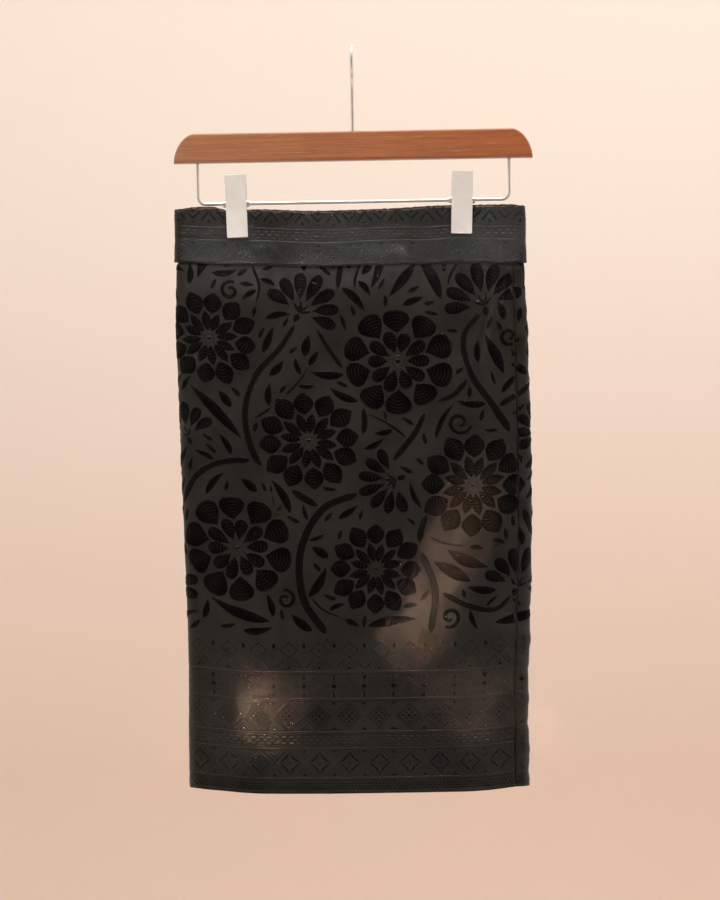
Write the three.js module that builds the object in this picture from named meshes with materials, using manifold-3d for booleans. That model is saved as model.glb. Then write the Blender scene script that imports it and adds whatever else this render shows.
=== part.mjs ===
// A samping, the short tube skirt of Malay dress, held by two spring clips on a wooden hanger.
// Millimetres, +X to the wearer's left, +Y to the back, +Z up. The origin is the top of the
// inside of the hanger's hook, where it rests on a rod. "drop" is a distance below that point.
import * as THREE from "three";
import { mergeVertices } from "three/addons/utils/BufferGeometryUtils.js";
import Module from "manifold-3d";

// ---- Driving dimensions ------------------------------------------------------------------

const GAP = 0.3; // between pieces that touch
const CLOTH = 1; // thickness of one layer of brocade

const HOOK = {
  wire: 4, // diameter
  bend: 18, // radius of its round, at the wire's centre
  startAngle: 235, // degrees, where the shank's bend meets the round
  tipAngle: -42,
  shankTop: 56, // drop at which the shank leaves the straight
  leaving: 12, // how hard its bend holds to the shank, and then to the round
  arriving: 10,
  seat: 14, // length held in the wooden bar
};

const BAR = {
  halfLength: 190,
  top: 89.5, // drop
  height: 31,
  thickness: 13,
  edgeRound: 3,
  shoulder: 22, // length of the curve at each end
  shoulderPower: 1.8, // an ellipse has 2
};

const WIRE = {
  wire: 3.6, // diameter
  halfSpan: 165,
  drop: 164, // of its straight run
  bend: 8.5,
  seat: 9, // length of each end held in the wooden bar
};

const CLIP = {
  width: 22,
  length: 66.5,
  belowWire: 36, // of the length
  depth: 2.5, // of the pressed rim
  sheet: 0.8,
  rimBevel: 1.3,
  spread: 3.4, // degrees, each plate from the vertical
  earHeight: 5,
  barrelRadius: 3.5,
  barrelLength: 28,
  barrelBore: 2.6, // radius
  springWire: 1.2,
  springLength: 11,
};
const CLIP_PLACES = [
  { name: "left_clip", x: -124.5, lean: -1.3 },
  { name: "right_clip", x: 114.4, lean: 2 },
];

// Outline of the cloth and its half depth, front to back, at drops down its length. left and
// right are the outer faces of the side folds, and fold is the radius inside each of them.
const BODY = [
  { drop: 160, left: -189.4, right: 180.4, fold: 2.5, depth: 4.7 },
  { drop: 200, left: -190.2, right: 181.2, fold: 2.6, depth: 5 },
  { drop: 232, left: -190.2, right: 180.4, fold: 2.8, depth: 5.4 },
  { drop: 270, left: -191.2, right: 181.4, fold: 3.4, depth: 6.4 },
  { drop: 320, left: -191.6, right: 182.8, fold: 4, depth: 7.6 },
  { drop: 375, left: -191.2, right: 183.9, fold: 4.5, depth: 8.4 },
  { drop: 430, left: -189.6, right: 184.6, fold: 5, depth: 9 },
  { drop: 480, left: -187.9, right: 184.2, fold: 5.4, depth: 9.5 },
  { drop: 535, left: -187, right: 183.3, fold: 5.7, depth: 10 },
  { drop: 590, left: -186.5, right: 181.2, fold: 6, depth: 10.4 },
  { drop: 650, left: -186.1, right: 179, fold: 6.2, depth: 10.8 },
  { drop: 695, left: -186.5, right: 176.2, fold: 6.3, depth: 11 },
  { drop: 716, left: -186.7, right: 175.5, fold: 6.3, depth: 11 },
  { drop: 740, left: -187, right: 177.4, fold: 6.4, depth: 11.1 },
  { drop: 790, left: -186.9, right: 176.6, fold: 6.5, depth: 11.3 },
];
const SIDE_RUN = 60; // from a side fold to the full depth
const PINCH = { depth: 1.7, flat: 20, run: 40, bottom: 212, end: 330 };

// Edges of the two pieces: each runs a little lower between the clips.
const TOP_EDGE = [
  { x: -190, drop: 169.2 },
  { x: -176, drop: 167.2 },
  { x: -158, drop: 166.3 },
  { x: -147, drop: 166.9 },
  { x: -136, drop: 170.2 },
  { x: -124, drop: 170.4 },
  { x: -108, drop: 170 },
  { x: -48, drop: 172.9 },
  { x: 0, drop: 172.7 },
  { x: 53, drop: 171.3 },
  { x: 92, drop: 169.3 },
  { x: 114, drop: 169.4 },
  { x: 150, drop: 169.4 },
  { x: 172, drop: 170 },
  { x: 183, drop: 172.4 },
];
const BAND_EDGE = [
  { x: -190, drop: 224.5 },
  { x: -158, drop: 226.8 },
  { x: -120, drop: 228 },
  { x: -84, drop: 229.6 },
  { x: -50, drop: 231.8 },
  { x: -20, drop: 232.4 },
  { x: 5, drop: 231.3 },
  { x: 50, drop: 230.7 },
  { x: 80, drop: 231 },
  { x: 108, drop: 229.2 },
  { x: 128, drop: 230.6 },
  { x: 154, drop: 231.5 },
  { x: 183, drop: 232 },
];
const HEM_EDGE = [
  { x: -188, drop: 779 },
  { x: -174, drop: 781.4 },
  { x: -149, drop: 783.9 },
  { x: -123, drop: 786.4 },
  { x: -60, drop: 788.4 },
  { x: 16, drop: 788.9 },
  { x: 80, drop: 789 },
  { x: 118, drop: 788.6 },
  { x: 144, drop: 787 },
  { x: 158, drop: 785.4 },
  { x: 178, drop: 784.8 },
];
const TUCK = 2; // the cloth's top edge lies this far below the waistband's fold
const INNER_HEM = 8; // the waistband's inside ends this far above its outside
const BAND_CROWN = 0.7; // height of the waistband's folded edge, as a share of half its thickness

// Broad soft folds: a ridge (or, with a negative depth, a trough) whose middle starts at x and
// moves by lean for each millimetre down, between the drops top and bottom.
const FRONT_FOLDS = [
  { x: -160, lean: 0.02, width: 22, depth: 0.8, top: 250, bottom: 520 },
  { x: -118, lean: 0.06, width: 26, depth: -0.9, top: 236, bottom: 480 },
  { x: -60, lean: -0.05, width: 34, depth: 0.9, top: 300, bottom: 640 },
  { x: 22, lean: 0.03, width: 30, depth: -0.8, top: 260, bottom: 560 },
  { x: 138, lean: -0.32, width: 30, depth: 1.6, top: 330, bottom: 700 },
  { x: 96, lean: -0.3, width: 24, depth: -1.1, top: 330, bottom: 690 },
  { x: -128, lean: 0.02, width: 30, depth: 1.1, top: 560, bottom: 800 },
  { x: -48, lean: 0.02, width: 26, depth: -0.9, top: 590, bottom: 800 },
  { x: 92, lean: 0, width: 34, depth: 1, top: 610, bottom: 800 },
];
const BACK_FOLDS = [
  { x: -132, lean: 0.05, width: 26, depth: -1, top: 240, bottom: 540 },
  { x: -70, lean: 0.1, width: 34, depth: 1.2, top: 300, bottom: 700 },
  { x: 10, lean: -0.04, width: 28, depth: -0.9, top: 260, bottom: 620 },
  { x: 84, lean: 0.06, width: 32, depth: 1.3, top: 250, bottom: 660 },
  { x: 134, lean: 0.03, width: 22, depth: -0.9, top: 236, bottom: 520 },
  { x: -96, lean: 0, width: 30, depth: 1, top: 600, bottom: 800 },
  { x: 52, lean: 0, width: 30, depth: -0.9, top: 590, bottom: 800 },
];
// Small gathers where the cloth is eased into the waistband: each is a ridge of this width.
const FRONT_GATHERS = [
  { x: -150, width: 5, depth: 0.5, length: 16 },
  { x: -96, width: 6, depth: 0.5, length: 18 },
  { x: -40, width: 6, depth: 0.6, length: 20 },
  { x: 60, width: 5, depth: 0.9, length: 24 },
  { x: 76, width: 4.5, depth: 1, length: 30 },
  { x: 91, width: 4.5, depth: 1.2, length: 34 },
  { x: 105, width: 4.5, depth: 0.9, length: 26 },
  { x: 118, width: 4.5, depth: 1.3, length: 40 },
  { x: 131, width: 4.5, depth: 1.1, length: 32 },
  { x: 145, width: 5, depth: 1.3, length: 44 },
  { x: 158, width: 4.5, depth: 1, length: 30 },
];
const BACK_GATHERS = [
  { x: -140, width: 6, depth: 0.7, length: 26 },
  { x: -84, width: 6, depth: 0.6, length: 22 },
  { x: -20, width: 6, depth: 0.6, length: 20 },
  { x: 66, width: 6, depth: 0.8, length: 26 },
  { x: 128, width: 6, depth: 0.9, length: 30 },
];

// Where the cloth's rings have their stations, as shares of each flat face from left to right.
const SEAM_SHARE = 0.968; // the skirt's own seam, on the front
const BAND_SEAM_SHARE = 0.9; // the waistband's, on the back
const GATHERED_FROM = 0.64; // stations are close from here to the seam
const OPEN_STEPS = 16;
const GATHERED_STEPS = 26;
const BACK_STEPS = 20;
const FOLD_STEPS = 6; // round each side fold
const BAND_FOLD_STEPS = 6; // over the waistband's folded edge
const SKIRT_ROWS = 17; // below the waistband
const ROW_CROWDING = 1.6; // above 1, the rows are closer under the waistband

// ---- Helpers -----------------------------------------------------------------------------

const radians = THREE.MathUtils.degToRad;
const mix = THREE.MathUtils.lerp;
const smooth = (value, from, to) => THREE.MathUtils.smoothstep(value, from, to);

// The value of a column of a table at a place along its key, as one smooth curve.
function reading(table, key, at, column) {
  const last = table.length - 1;
  if (at <= table[0][key]) return table[0][column];
  if (at >= table[last][key]) return table[last][column];
  const i = table.findIndex((row) => row[key] > at) - 1;
  const slope = (n) => {
    const before = table[Math.max(n - 1, 0)];
    const after = table[Math.min(n + 1, last)];
    return (after[column] - before[column]) / (after[key] - before[key]);
  };
  const span = table[i + 1][key] - table[i][key];
  const t = (at - table[i][key]) / span;
  const start = table[i][column] * (1 + 2 * t) * (1 - t) ** 2;
  const end = table[i + 1][column] * (3 - 2 * t) * t ** 2;
  const leaving = slope(i) * span * t * (1 - t) ** 2;
  const arriving = slope(i + 1) * span * t ** 2 * (t - 1);
  return start + end + leaving + arriving;
}

const wasm = await Module();
wasm.setup();

function toManifold(geometry) {
  const bare = new THREE.BufferGeometry();
  bare.setAttribute("position", geometry.getAttribute("position"));
  bare.setIndex(geometry.getIndex());
  const merged = mergeVertices(bare, 1e-4);
  const mesh = new wasm.Mesh({
    numProp: 3,
    vertProperties: new Float32Array(merged.getAttribute("position").array),
    triVerts: new Uint32Array(merged.getIndex().array),
  });
  return new wasm.Manifold(mesh);
}

function fromManifold(solid) {
  const { vertProperties, triVerts } = solid.getMesh();
  const geometry = new THREE.BufferGeometry();
  geometry.setAttribute("position", new THREE.BufferAttribute(vertProperties, 3));
  geometry.setIndex(new THREE.BufferAttribute(triVerts, 1));
  geometry.computeVertexNormals();
  return geometry;
}

function cutFrom(geometry, cutters) {
  let solid = toManifold(geometry);
  for (const cutter of cutters) solid = solid.subtract(toManifold(cutter));
  return fromManifold(solid);
}

function joined(geometries) {
  return fromManifold(geometries.map(toManifold).reduce((all, next) => all.add(next)));
}

// A route with one ring of the wire at each of its stations, so a straight run needs no more
// than its two ends.
class WireRoute extends THREE.Curve {
  constructor(stations) {
    super();
    this.stations = stations;
  }
  getPoint(t, target = new THREE.Vector3()) {
    const place = t * (this.stations.length - 1);
    const i = Math.min(Math.floor(place), this.stations.length - 2);
    return target.lerpVectors(this.stations[i], this.stations[i + 1], place - i);
  }
  getUtoTmapping(u) {
    return u;
  }
}

function bentWire(stations, diameter, sides) {
  const section = new THREE.Shape();
  for (let i = 0; i < sides; i++) {
    const angle = (2 * Math.PI * i) / sides;
    const x = (diameter / 2) * Math.cos(angle);
    const y = (diameter / 2) * Math.sin(angle);
    if (i === 0) section.moveTo(x, y);
    else section.lineTo(x, y);
  }
  section.closePath();
  return new THREE.ExtrudeGeometry(section, {
    steps: stations.length - 1,
    extrudePath: new WireRoute(stations),
  });
}

// Stations on a round, from one angle to another, in the plane that place() gives.
function roundStations(place, radius, from, to, steps) {
  return Array.from({ length: steps + 1 }, (_, i) => {
    const angle = radians(mix(from, to, i / steps));
    return place(radius * Math.cos(angle), radius * Math.sin(angle));
  });
}

function ring(outer, inner, length, segments) {
  const profile = [
    new THREE.Vector2(inner, -length / 2),
    new THREE.Vector2(outer, -length / 2),
    new THREE.Vector2(outer, length / 2),
    new THREE.Vector2(inner, length / 2),
    new THREE.Vector2(inner, -length / 2),
  ];
  return new THREE.LatheGeometry(profile, segments).rotateZ(Math.PI / 2);
}

// ---- The hanger --------------------------------------------------------------------------

// The hook stands square to the bar: its round lies in the plane of Y and Z.
function hookGeometry() {
  const centre = -(HOOK.bend - HOOK.wire / 2);
  const place = (y, z) => new THREE.Vector3(0, y, centre + z);
  const round = roundStations(place, HOOK.bend, HOOK.startAngle, HOOK.tipAngle, 24);
  const heading = round[1].clone().sub(round[0]).normalize();
  const shankTop = new THREE.Vector3(0, 0, -HOOK.shankTop);
  const bend = new THREE.CubicBezierCurve3(
    shankTop,
    shankTop.clone().add(new THREE.Vector3(0, 0, HOOK.leaving)),
    round[0].clone().addScaledVector(heading, -HOOK.arriving),
    round[0],
  );
  const foot = new THREE.Vector3(0, 0, -(BAR.top + HOOK.seat));
  return bentWire([foot, ...bend.getPoints(7), ...round.slice(1)], HOOK.wire, 12);
}

// A flat foot, a straight top and a curved shoulder at each end.
function barOutline() {
  const steps = 8;
  const shoulder = [];
  for (let i = 0; i <= steps; i++) {
    const angle = (Math.PI / 2) * (i / steps);
    const power = 2 / BAR.shoulderPower;
    const x = BAR.halfLength - BAR.shoulder + BAR.shoulder * Math.cos(angle) ** power;
    shoulder.push(new THREE.Vector2(x, BAR.height * Math.sin(angle) ** power));
  }
  const mirrored = shoulder.map((p) => new THREE.Vector2(-p.x, p.y)).reverse();
  return new THREE.Shape([...shoulder, ...mirrored]);
}

function barGeometry() {
  const foot = -(BAR.top + BAR.height);
  const round = BAR.edgeRound;
  const wooden = new THREE.ExtrudeGeometry(barOutline(), {
    depth: BAR.thickness - 2 * round,
    bevelThickness: round,
    bevelSize: round,
    bevelOffset: -round,
    bevelSegments: 3,
  });
  wooden.translate(0, 0, -(BAR.thickness / 2 - round)).rotateX(Math.PI / 2);
  wooden.translate(0, 0, foot);
  return cutFrom(wooden, [
    hole(0, -BAR.top, HOOK.wire, HOOK.seat),
    hole(-WIRE.halfSpan, foot, WIRE.wire, WIRE.seat),
    hole(WIRE.halfSpan, foot, WIRE.wire, WIRE.seat),
  ]);
}

// A blind hole for a wire, as deep as its seat and the gap on both sides of the bar's face.
function hole(x, z, wire, seat) {
  const cutter = new THREE.CylinderGeometry(wire / 2 + GAP, wire / 2 + GAP, 2 * (seat + GAP), 12);
  return cutter.rotateX(Math.PI / 2).translate(x, 0, z);
}

function wireGeometry() {
  const corner = WIRE.halfSpan - WIRE.bend;
  const level = -WIRE.drop + WIRE.bend;
  const top = -(BAR.top + BAR.height) + WIRE.seat;
  const end = (side) => new THREE.Vector3(side * WIRE.halfSpan, 0, top);
  const bend = (side, from, to) =>
    roundStations(
      (x, z) => new THREE.Vector3(side * corner + x, 0, level + z),
      WIRE.bend,
      from,
      to,
      6,
    );
  return bentWire([end(-1), ...bend(-1, 180, 270), ...bend(1, 270, 360), end(1)], WIRE.wire, 10);
}

// ---- The clips ---------------------------------------------------------------------------

// One pressed plate: a shallow tray with a bevelled rim, and an ear on each side that reaches
// in to the barrel. Its inside foot is at the origin, and its face looks along -Y.
function plateGeometry(plateSide) {
  const half = CLIP.width / 2;
  const bevel = CLIP.rimBevel;
  const face = new THREE.Shape([
    new THREE.Vector2(-half, 0),
    new THREE.Vector2(half, 0),
    new THREE.Vector2(half, CLIP.length),
    new THREE.Vector2(-half, CLIP.length),
  ]);
  const tray = new THREE.ExtrudeGeometry(face, {
    depth: CLIP.depth,
    bevelThickness: bevel,
    bevelSize: bevel,
    bevelOffset: -bevel,
    bevelSegments: 2,
  });
  tray.rotateX(Math.PI / 2); // its bevels are now at y = bevel and y = -depth - bevel
  const back = new THREE.BoxGeometry(2 * CLIP.width, 4 * bevel, 3 * CLIP.length);
  back.translate(0, 2 * bevel, 0);
  tray.translate(0, bevel, 0);
  const pocket = new THREE.BoxGeometry(
    CLIP.width - 2 * (CLIP.sheet + bevel / 2),
    2 * (CLIP.depth - CLIP.sheet),
    CLIP.length - 2 * (CLIP.sheet + bevel / 2),
  );
  pocket.translate(0, 0, CLIP.length / 2);
  const pan = cutFrom(tray, [back, pocket]);
  const pivot = pivotInPlate();
  const root = CLIP.depth - CLIP.sheet / 2; // an ear starts inside the plate's face
  const reach = pivot.away - CLIP.barrelRadius - GAP;
  const ears = [-1, 1].map((side) => {
    const ear = new THREE.BoxGeometry(CLIP.sheet, root + reach, CLIP.earHeight);
    // The front plate's ears stand outside the back plate's, so the two pairs pass each other.
    const inward = plateSide === "front" ? 0 : CLIP.sheet + 2 * GAP;
    const across = half - bevel / 2 - CLIP.sheet / 2 - inward;
    return ear.translate(side * across, (reach - root) / 2, pivot.up);
  });
  return joined([pan, ...ears]);
}

// Where the wire's axis lies in a plate's own frame: up along it, and away from its rim.
function pivotInPlate() {
  const jaw = PINCH.depth + 2 * (CLOTH + GAP); // where the rim's foot stands, from y = 0
  const lean = radians(CLIP.spread);
  const up = CLIP.belowWire * Math.cos(lean) - jaw * Math.sin(lean);
  const away = CLIP.belowWire * Math.sin(lean) + jaw * Math.cos(lean);
  return { jaw, up, away };
}

function makeClip({ name, x, lean }) {
  const clip = new THREE.Group();
  const { jaw } = pivotInPlate();
  for (const plateSide of ["front", "back"]) {
    const half = new THREE.Group();
    half.rotation.z = plateSide === "front" ? 0 : Math.PI;
    const plate = named(plateGeometry(plateSide), name + "_" + plateSide, chrome);
    plate.position.set(0, -jaw, -CLIP.belowWire);
    plate.rotation.x = radians(CLIP.spread);
    half.add(plate);
    clip.add(half);
  }
  const barrel = ring(CLIP.barrelRadius, CLIP.barrelBore, CLIP.barrelLength, 18);
  clip.add(named(barrel, name + "_barrel", chrome));
  const springInner = CLIP.barrelRadius + GAP;
  const spring = ring(springInner + CLIP.springWire, springInner, CLIP.springLength, 18);
  clip.add(named(spring, name + "_spring", chrome));
  clip.rotation.y = radians(lean);
  clip.position.set(x, 0, -WIRE.drop);
  return clip;
}

// ---- The cloth ---------------------------------------------------------------------------

function foldRelief(folds, x, drop) {
  let relief = 0;
  for (const fold of folds) {
    const middle = fold.x + fold.lean * (drop - fold.top);
    const run = (fold.bottom - fold.top) / 3;
    const along = smooth(drop, fold.top, fold.top + run) - smooth(drop, fold.bottom - run, fold.bottom);
    relief += fold.depth * along * Math.exp(-(((x - middle) / fold.width) ** 2));
  }
  return relief;
}

function gatherRelief(gathers, x, drop) {
  const below = drop - reading(BAND_EDGE, "x", x, "drop");
  if (below <= 0) return 0;
  let relief = 0;
  for (const gather of gathers) {
    const along = smooth(below, 0, 4) * Math.exp(-below / gather.length);
    relief += gather.depth * along * Math.exp(-(((x - gather.x) / gather.width) ** 2));
  }
  return relief;
}

// How hard the clips press the two layers together at a place: 1 between the jaws.
function pinchAt(x, drop) {
  let press = 0;
  for (const place of CLIP_PLACES) {
    const off = Math.abs(x - place.x);
    press = Math.max(press, 1 - smooth(off, PINCH.flat, PINCH.flat + PINCH.run));
  }
  return press * (1 - smooth(drop, PINCH.bottom, PINCH.end));
}

// Half the depth of the hollow inside the skirt at a place on its front or back.
function halfDepth(face, x, drop) {
  const at = (column) => reading(BODY, "drop", drop, column);
  const inside = Math.min(x - (at("left") + CLOTH + at("fold")), at("right") - CLOTH - at("fold") - x);
  const swell = smooth(inside, 0, SIDE_RUN);
  const folds = face === "front" ? FRONT_FOLDS : BACK_FOLDS;
  const gathers = face === "front" ? FRONT_GATHERS : BACK_GATHERS;
  const free = at("fold") + (at("depth") - at("fold")) * swell;
  const pressed = mix(free, PINCH.depth, pinchAt(x, drop));
  const calm = smooth(inside, 0, SIDE_RUN / 3);
  return pressed + calm * (foldRelief(folds, x, drop) + gatherRelief(gathers, x, drop));
}

// A point of the cloth: a station around the tube, a level(x) that gives its drop, and an
// offset out from the hollow, which is 0 on the skirt's inner face and CLOTH on its outer one.
function clothPoint(station, level, offset) {
  const onSide = station.face === "left" || station.face === "right";
  return onSide ? sidePoint(station, level, offset) : facePoint(station, level, offset);
}

function facePoint(station, level, offset) {
  let x = 0;
  let drop = level(x);
  for (let pass = 0; pass < 3; pass++) {
    const at = (column) => reading(BODY, "drop", drop, column);
    const left = at("left") + CLOTH + at("fold");
    const right = at("right") - CLOTH - at("fold");
    x = mix(left, right, station.share) + (station.nudge ?? 0);
    drop = level(x);
  }
  const y = halfDepth(station.face, x, drop) + offset;
  return new THREE.Vector3(x, station.face === "front" ? -y : y, -drop);
}

// A side fold is half a round. A turn runs from the front to the back on the left fold, and
// from the back to the front on the right one.
function sidePoint(station, level, offset) {
  const side = station.face === "left" ? -1 : 1;
  const drop = level(reading(BODY, "drop", level(0), station.face));
  const fold = reading(BODY, "drop", drop, "fold");
  const centre = reading(BODY, "drop", drop, station.face) - side * (CLOTH + fold);
  const angle = -side * Math.PI * (station.turn - 0.5);
  const radius = fold + offset;
  const x = centre + side * radius * Math.cos(angle);
  return new THREE.Vector3(x, radius * Math.sin(angle), -drop);
}

// All the stations around the tube: leftwards over the front, round the left fold, back over
// the back, and round the right fold.
function allStations() {
  const stations = [];
  const front = (share) => stations.push({ face: "front", share });
  const back = (share) => stations.push({ face: "back", share });
  front(1);
  for (let i = 0; i < GATHERED_STEPS; i++) front(mix(SEAM_SHARE, GATHERED_FROM, i / GATHERED_STEPS));
  for (let i = 0; i <= OPEN_STEPS; i++) front(mix(GATHERED_FROM, 0, i / OPEN_STEPS));
  for (let i = 1; i < FOLD_STEPS; i++) stations.push({ face: "left", turn: i / FOLD_STEPS });
  for (let i = 0; i <= BACK_STEPS; i++) back(i / BACK_STEPS);
  for (let i = 1; i < FOLD_STEPS; i++) stations.push({ face: "right", turn: i / FOLD_STEPS });
  return stations;
}

// The same stations from a seam all the way round to it again, with the gap between its edges.
function stationsFromSeam(face, share) {
  const stations = allStations();
  const start = stations.findIndex((s) => s.face === face && Math.abs(s.share - share) < 1e-6);
  const order = [...stations.slice(start), ...stations.slice(0, start)];
  const onward = face === "front" ? -1 : 1;
  const first = { ...order[0], nudge: (onward * GAP) / 2 };
  const last = { ...order[0], nudge: (-onward * GAP) / 2 };
  return [first, ...order.slice(1), last];
}

// A wall swept round the stations. Its ribs are cuts across the wall, in order along the cut
// through the cloth: each has a face and a back corner, and each corner an offset and a level.
function sweptCloth(stations, ribs) {
  const section = [...ribs.map((rib) => rib.face), ...ribs.map((rib) => rib.back).reverse()];
  const count = section.length;
  const positions = [];
  for (const station of stations) {
    for (const corner of section) {
      positions.push(...clothPoint(station, corner.level, corner.offset).toArray());
    }
  }
  const indices = [];
  const quad = (a, b, c, d) => indices.push(a, b, c, a, c, d);
  for (let i = 0; i + 1 < stations.length; i++) {
    const here = i * count;
    const there = here + count;
    for (let j = 0; j < count; j++) {
      const next = (j + 1) % count;
      quad(here + j, there + j, there + next, here + next);
    }
  }
  const end = (stations.length - 1) * count;
  for (let k = 0; k + 1 < ribs.length; k++) {
    const across = count - 1 - k;
    quad(k, k + 1, across - 1, across);
    quad(end + across, end + across - 1, end + k + 1, end + k);
  }
  const geometry = new THREE.BufferGeometry();
  geometry.setAttribute("position", new THREE.Float32BufferAttribute(positions, 3));
  geometry.setIndex(indices);
  geometry.computeVertexNormals();
  return geometry;
}

const topEdge = (x) => reading(TOP_EDGE, "x", x, "drop");
const bandEdge = (x) => reading(BAND_EDGE, "x", x, "drop");
const hemEdge = (x) => reading(HEM_EDGE, "x", x, "drop");

function rib(faceOffset, backOffset, level, backLevel = level) {
  return { face: { offset: faceOffset, level }, back: { offset: backOffset, level: backLevel } };
}

function skirtGeometry() {
  const levels = [(x) => topEdge(x) + TUCK, (x) => mix(topEdge(x), bandEdge(x), 0.55)];
  for (let row = 0; row <= SKIRT_ROWS; row++) {
    const share = (row / SKIRT_ROWS) ** ROW_CROWDING;
    levels.push((x) => mix(bandEdge(x), hemEdge(x), share));
  }
  const ribs = levels.map((level) => rib(CLOTH, 0, level));
  return sweptCloth(stationsFromSeam("front", SEAM_SHARE), ribs);
}

// The waistband is one folded strip: its shorter inside, the fold over the cloth's top edge,
// and its outside.
function waistbandGeometry() {
  const outer = 2 * CLOTH + GAP;
  const inner = -(CLOTH + GAP);
  const middle = (outer + inner) / 2;
  const round = (outer - inner) / 2;
  const crown = BAND_CROWN * round;
  const shoulder = (x) => topEdge(x) + crown;
  const underFold = (x) => topEdge(x) + TUCK - GAP;
  const innerEdge = (x) => bandEdge(x) - INNER_HEM;
  const halfway = (x) => mix(shoulder(x), bandEdge(x), 0.5);
  const over = [];
  for (let turn = 1; turn < BAND_FOLD_STEPS; turn++) {
    const share = turn / BAND_FOLD_STEPS;
    const angle = Math.PI * (1 - share);
    const level = (x) => topEdge(x) + crown * (1 - Math.sin(angle));
    const under = mix(inner + CLOTH, outer - CLOTH, share);
    over.push(rib(middle + round * Math.cos(angle), under, level, underFold));
  }
  const ribs = [
    rib(inner, inner + CLOTH, innerEdge),
    rib(inner, inner + CLOTH, shoulder, underFold),
    ...over,
    rib(outer, outer - CLOTH, shoulder, underFold),
    rib(outer, outer - CLOTH, halfway),
    rib(outer, outer - CLOTH, bandEdge),
  ];
  return sweptCloth(stationsFromSeam("back", BAND_SEAM_SHARE), ribs);
}

// ---- The assembly ------------------------------------------------------------------------

const brocade = new THREE.MeshStandardMaterial({ color: 0x2b2a27, roughness: 0.5, metalness: 0 });
const chrome = new THREE.MeshStandardMaterial({ color: 0xd8d3ca, roughness: 0.2, metalness: 1 });
const wood = new THREE.MeshStandardMaterial({ color: 0x965a3c, roughness: 0.45, metalness: 0 });

function named(geometry, name, material) {
  const mesh = new THREE.Mesh(geometry, material);
  mesh.name = name;
  return mesh;
}

const samping = new THREE.Group();
samping.add(named(hookGeometry(), "hook", chrome));
samping.add(named(barGeometry(), "hanger_bar", wood));
samping.add(named(wireGeometry(), "clip_wire", chrome));
for (const place of CLIP_PLACES) samping.add(makeClip(place));
samping.add(named(waistbandGeometry(), "waistband", brocade));
samping.add(named(skirtGeometry(), "skirt_cloth", brocade));

export default samping;
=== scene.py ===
"""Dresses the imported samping: a black brocade tube skirt held by two clips on a wooden hanger.

Sizes are in millimetres until a point is placed, and "drop" is a distance below the top of the
hook. The cloth has a chart of its own: "along" runs round the tube from the left fold over the
front, negative over the back, and "up" runs from the lower edge.
"""

import math
import random

import bmesh
import bpy
import numpy as np
from mathutils import Matrix, Vector
from mathutils.bvhtree import BVHTree


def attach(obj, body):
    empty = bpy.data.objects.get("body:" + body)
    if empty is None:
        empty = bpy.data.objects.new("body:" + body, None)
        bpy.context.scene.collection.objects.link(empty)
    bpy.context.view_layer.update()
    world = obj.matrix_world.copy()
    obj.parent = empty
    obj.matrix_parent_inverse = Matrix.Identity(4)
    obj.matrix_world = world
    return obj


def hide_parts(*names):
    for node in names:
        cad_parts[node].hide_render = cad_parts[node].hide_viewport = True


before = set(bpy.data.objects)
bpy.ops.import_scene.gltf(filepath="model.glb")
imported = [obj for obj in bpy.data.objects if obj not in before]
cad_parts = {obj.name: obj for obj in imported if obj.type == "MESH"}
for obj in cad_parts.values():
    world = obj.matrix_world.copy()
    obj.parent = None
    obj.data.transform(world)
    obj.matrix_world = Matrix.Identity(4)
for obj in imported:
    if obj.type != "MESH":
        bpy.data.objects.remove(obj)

bl_info = {
    "name": "Samping on a clip hanger",
    "version": (1, 0, 0),
    "blender": (4, 5, 0),
    "location": "View3D > Sidebar > Samping",
    "description": "Dresses the packed samping with woven cloth, wood and bright metal",
    "category": "Object",
}

MM = 0.001
BODY = "root"
RIB = "rib"  # the mesh attribute that is 1 on a rib and 0 between two

# ---- Sizes that the part's source gives, in millimetres -----------------------------------

GIRTH = 744.0
HALF_GIRTH = GIRTH / 2
QUARTER_FOLD = 10.0  # along, from a side fold's middle to the flat of the cloth
SEAM = 352.0  # along, the skirt's own seam
BAND_SEAM = -335.0  # along, the waistband's seam on the back

TOP_EDGE = (
    (-190, 169.2), (-176, 167.2), (-158, 166.3), (-147, 166.9), (-136, 170.2),
    (-124, 170.4), (-108, 170.0), (-48, 172.9), (0, 172.7), (53, 171.3),
    (92, 169.3), (114, 169.4), (150, 169.4), (172, 170.0), (183, 172.4),
)
BAND_EDGE = (
    (-190, 224.5), (-158, 226.8), (-120, 228.0), (-84, 229.6), (-50, 231.8),
    (-20, 232.4), (5, 231.3), (50, 230.7), (80, 231.0), (108, 229.2),
    (128, 230.6), (154, 231.5), (183, 232.0),
)
HEM_EDGE = (
    (-188, 779.0), (-174, 781.4), (-149, 783.9), (-123, 786.4), (-60, 788.4),
    (16, 788.9), (80, 789.0), (118, 788.6), (144, 787.0), (158, 785.4), (178, 784.8),
)
FOLD_RADIUS = ((160, 3.5), (270, 4.4), (430, 6.0), (590, 7.0), (790, 7.5))
BAND_OVER_CLOTH = 1.3  # from the skirt's outer face to the waistband's
BAND_TUCK = 1.4  # the waistband's outer face stops below the top of its fold
BAND_THROUGH = 3.5  # from its front layer's outer face to the inner layer's
BAND_FOLD_RISE = 1.25  # how far the fold arches over the skirt's top edge
BAND_TUFTS = 0.24  # unevenness of the fold
CLOTH_TUCK = 2.0  # the skirt's top edge, under the waistband's fold
HEM_TURN = ((0.7, -0.35), (1.5, 0.1), (1.8, 3.0), (1.8, 8.0), (1.8, 13.0))  # (inwards, up)
SKIRT_LENGTH = 610.0  # of the skirt's cloth, for the rows of its turned hem

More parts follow.
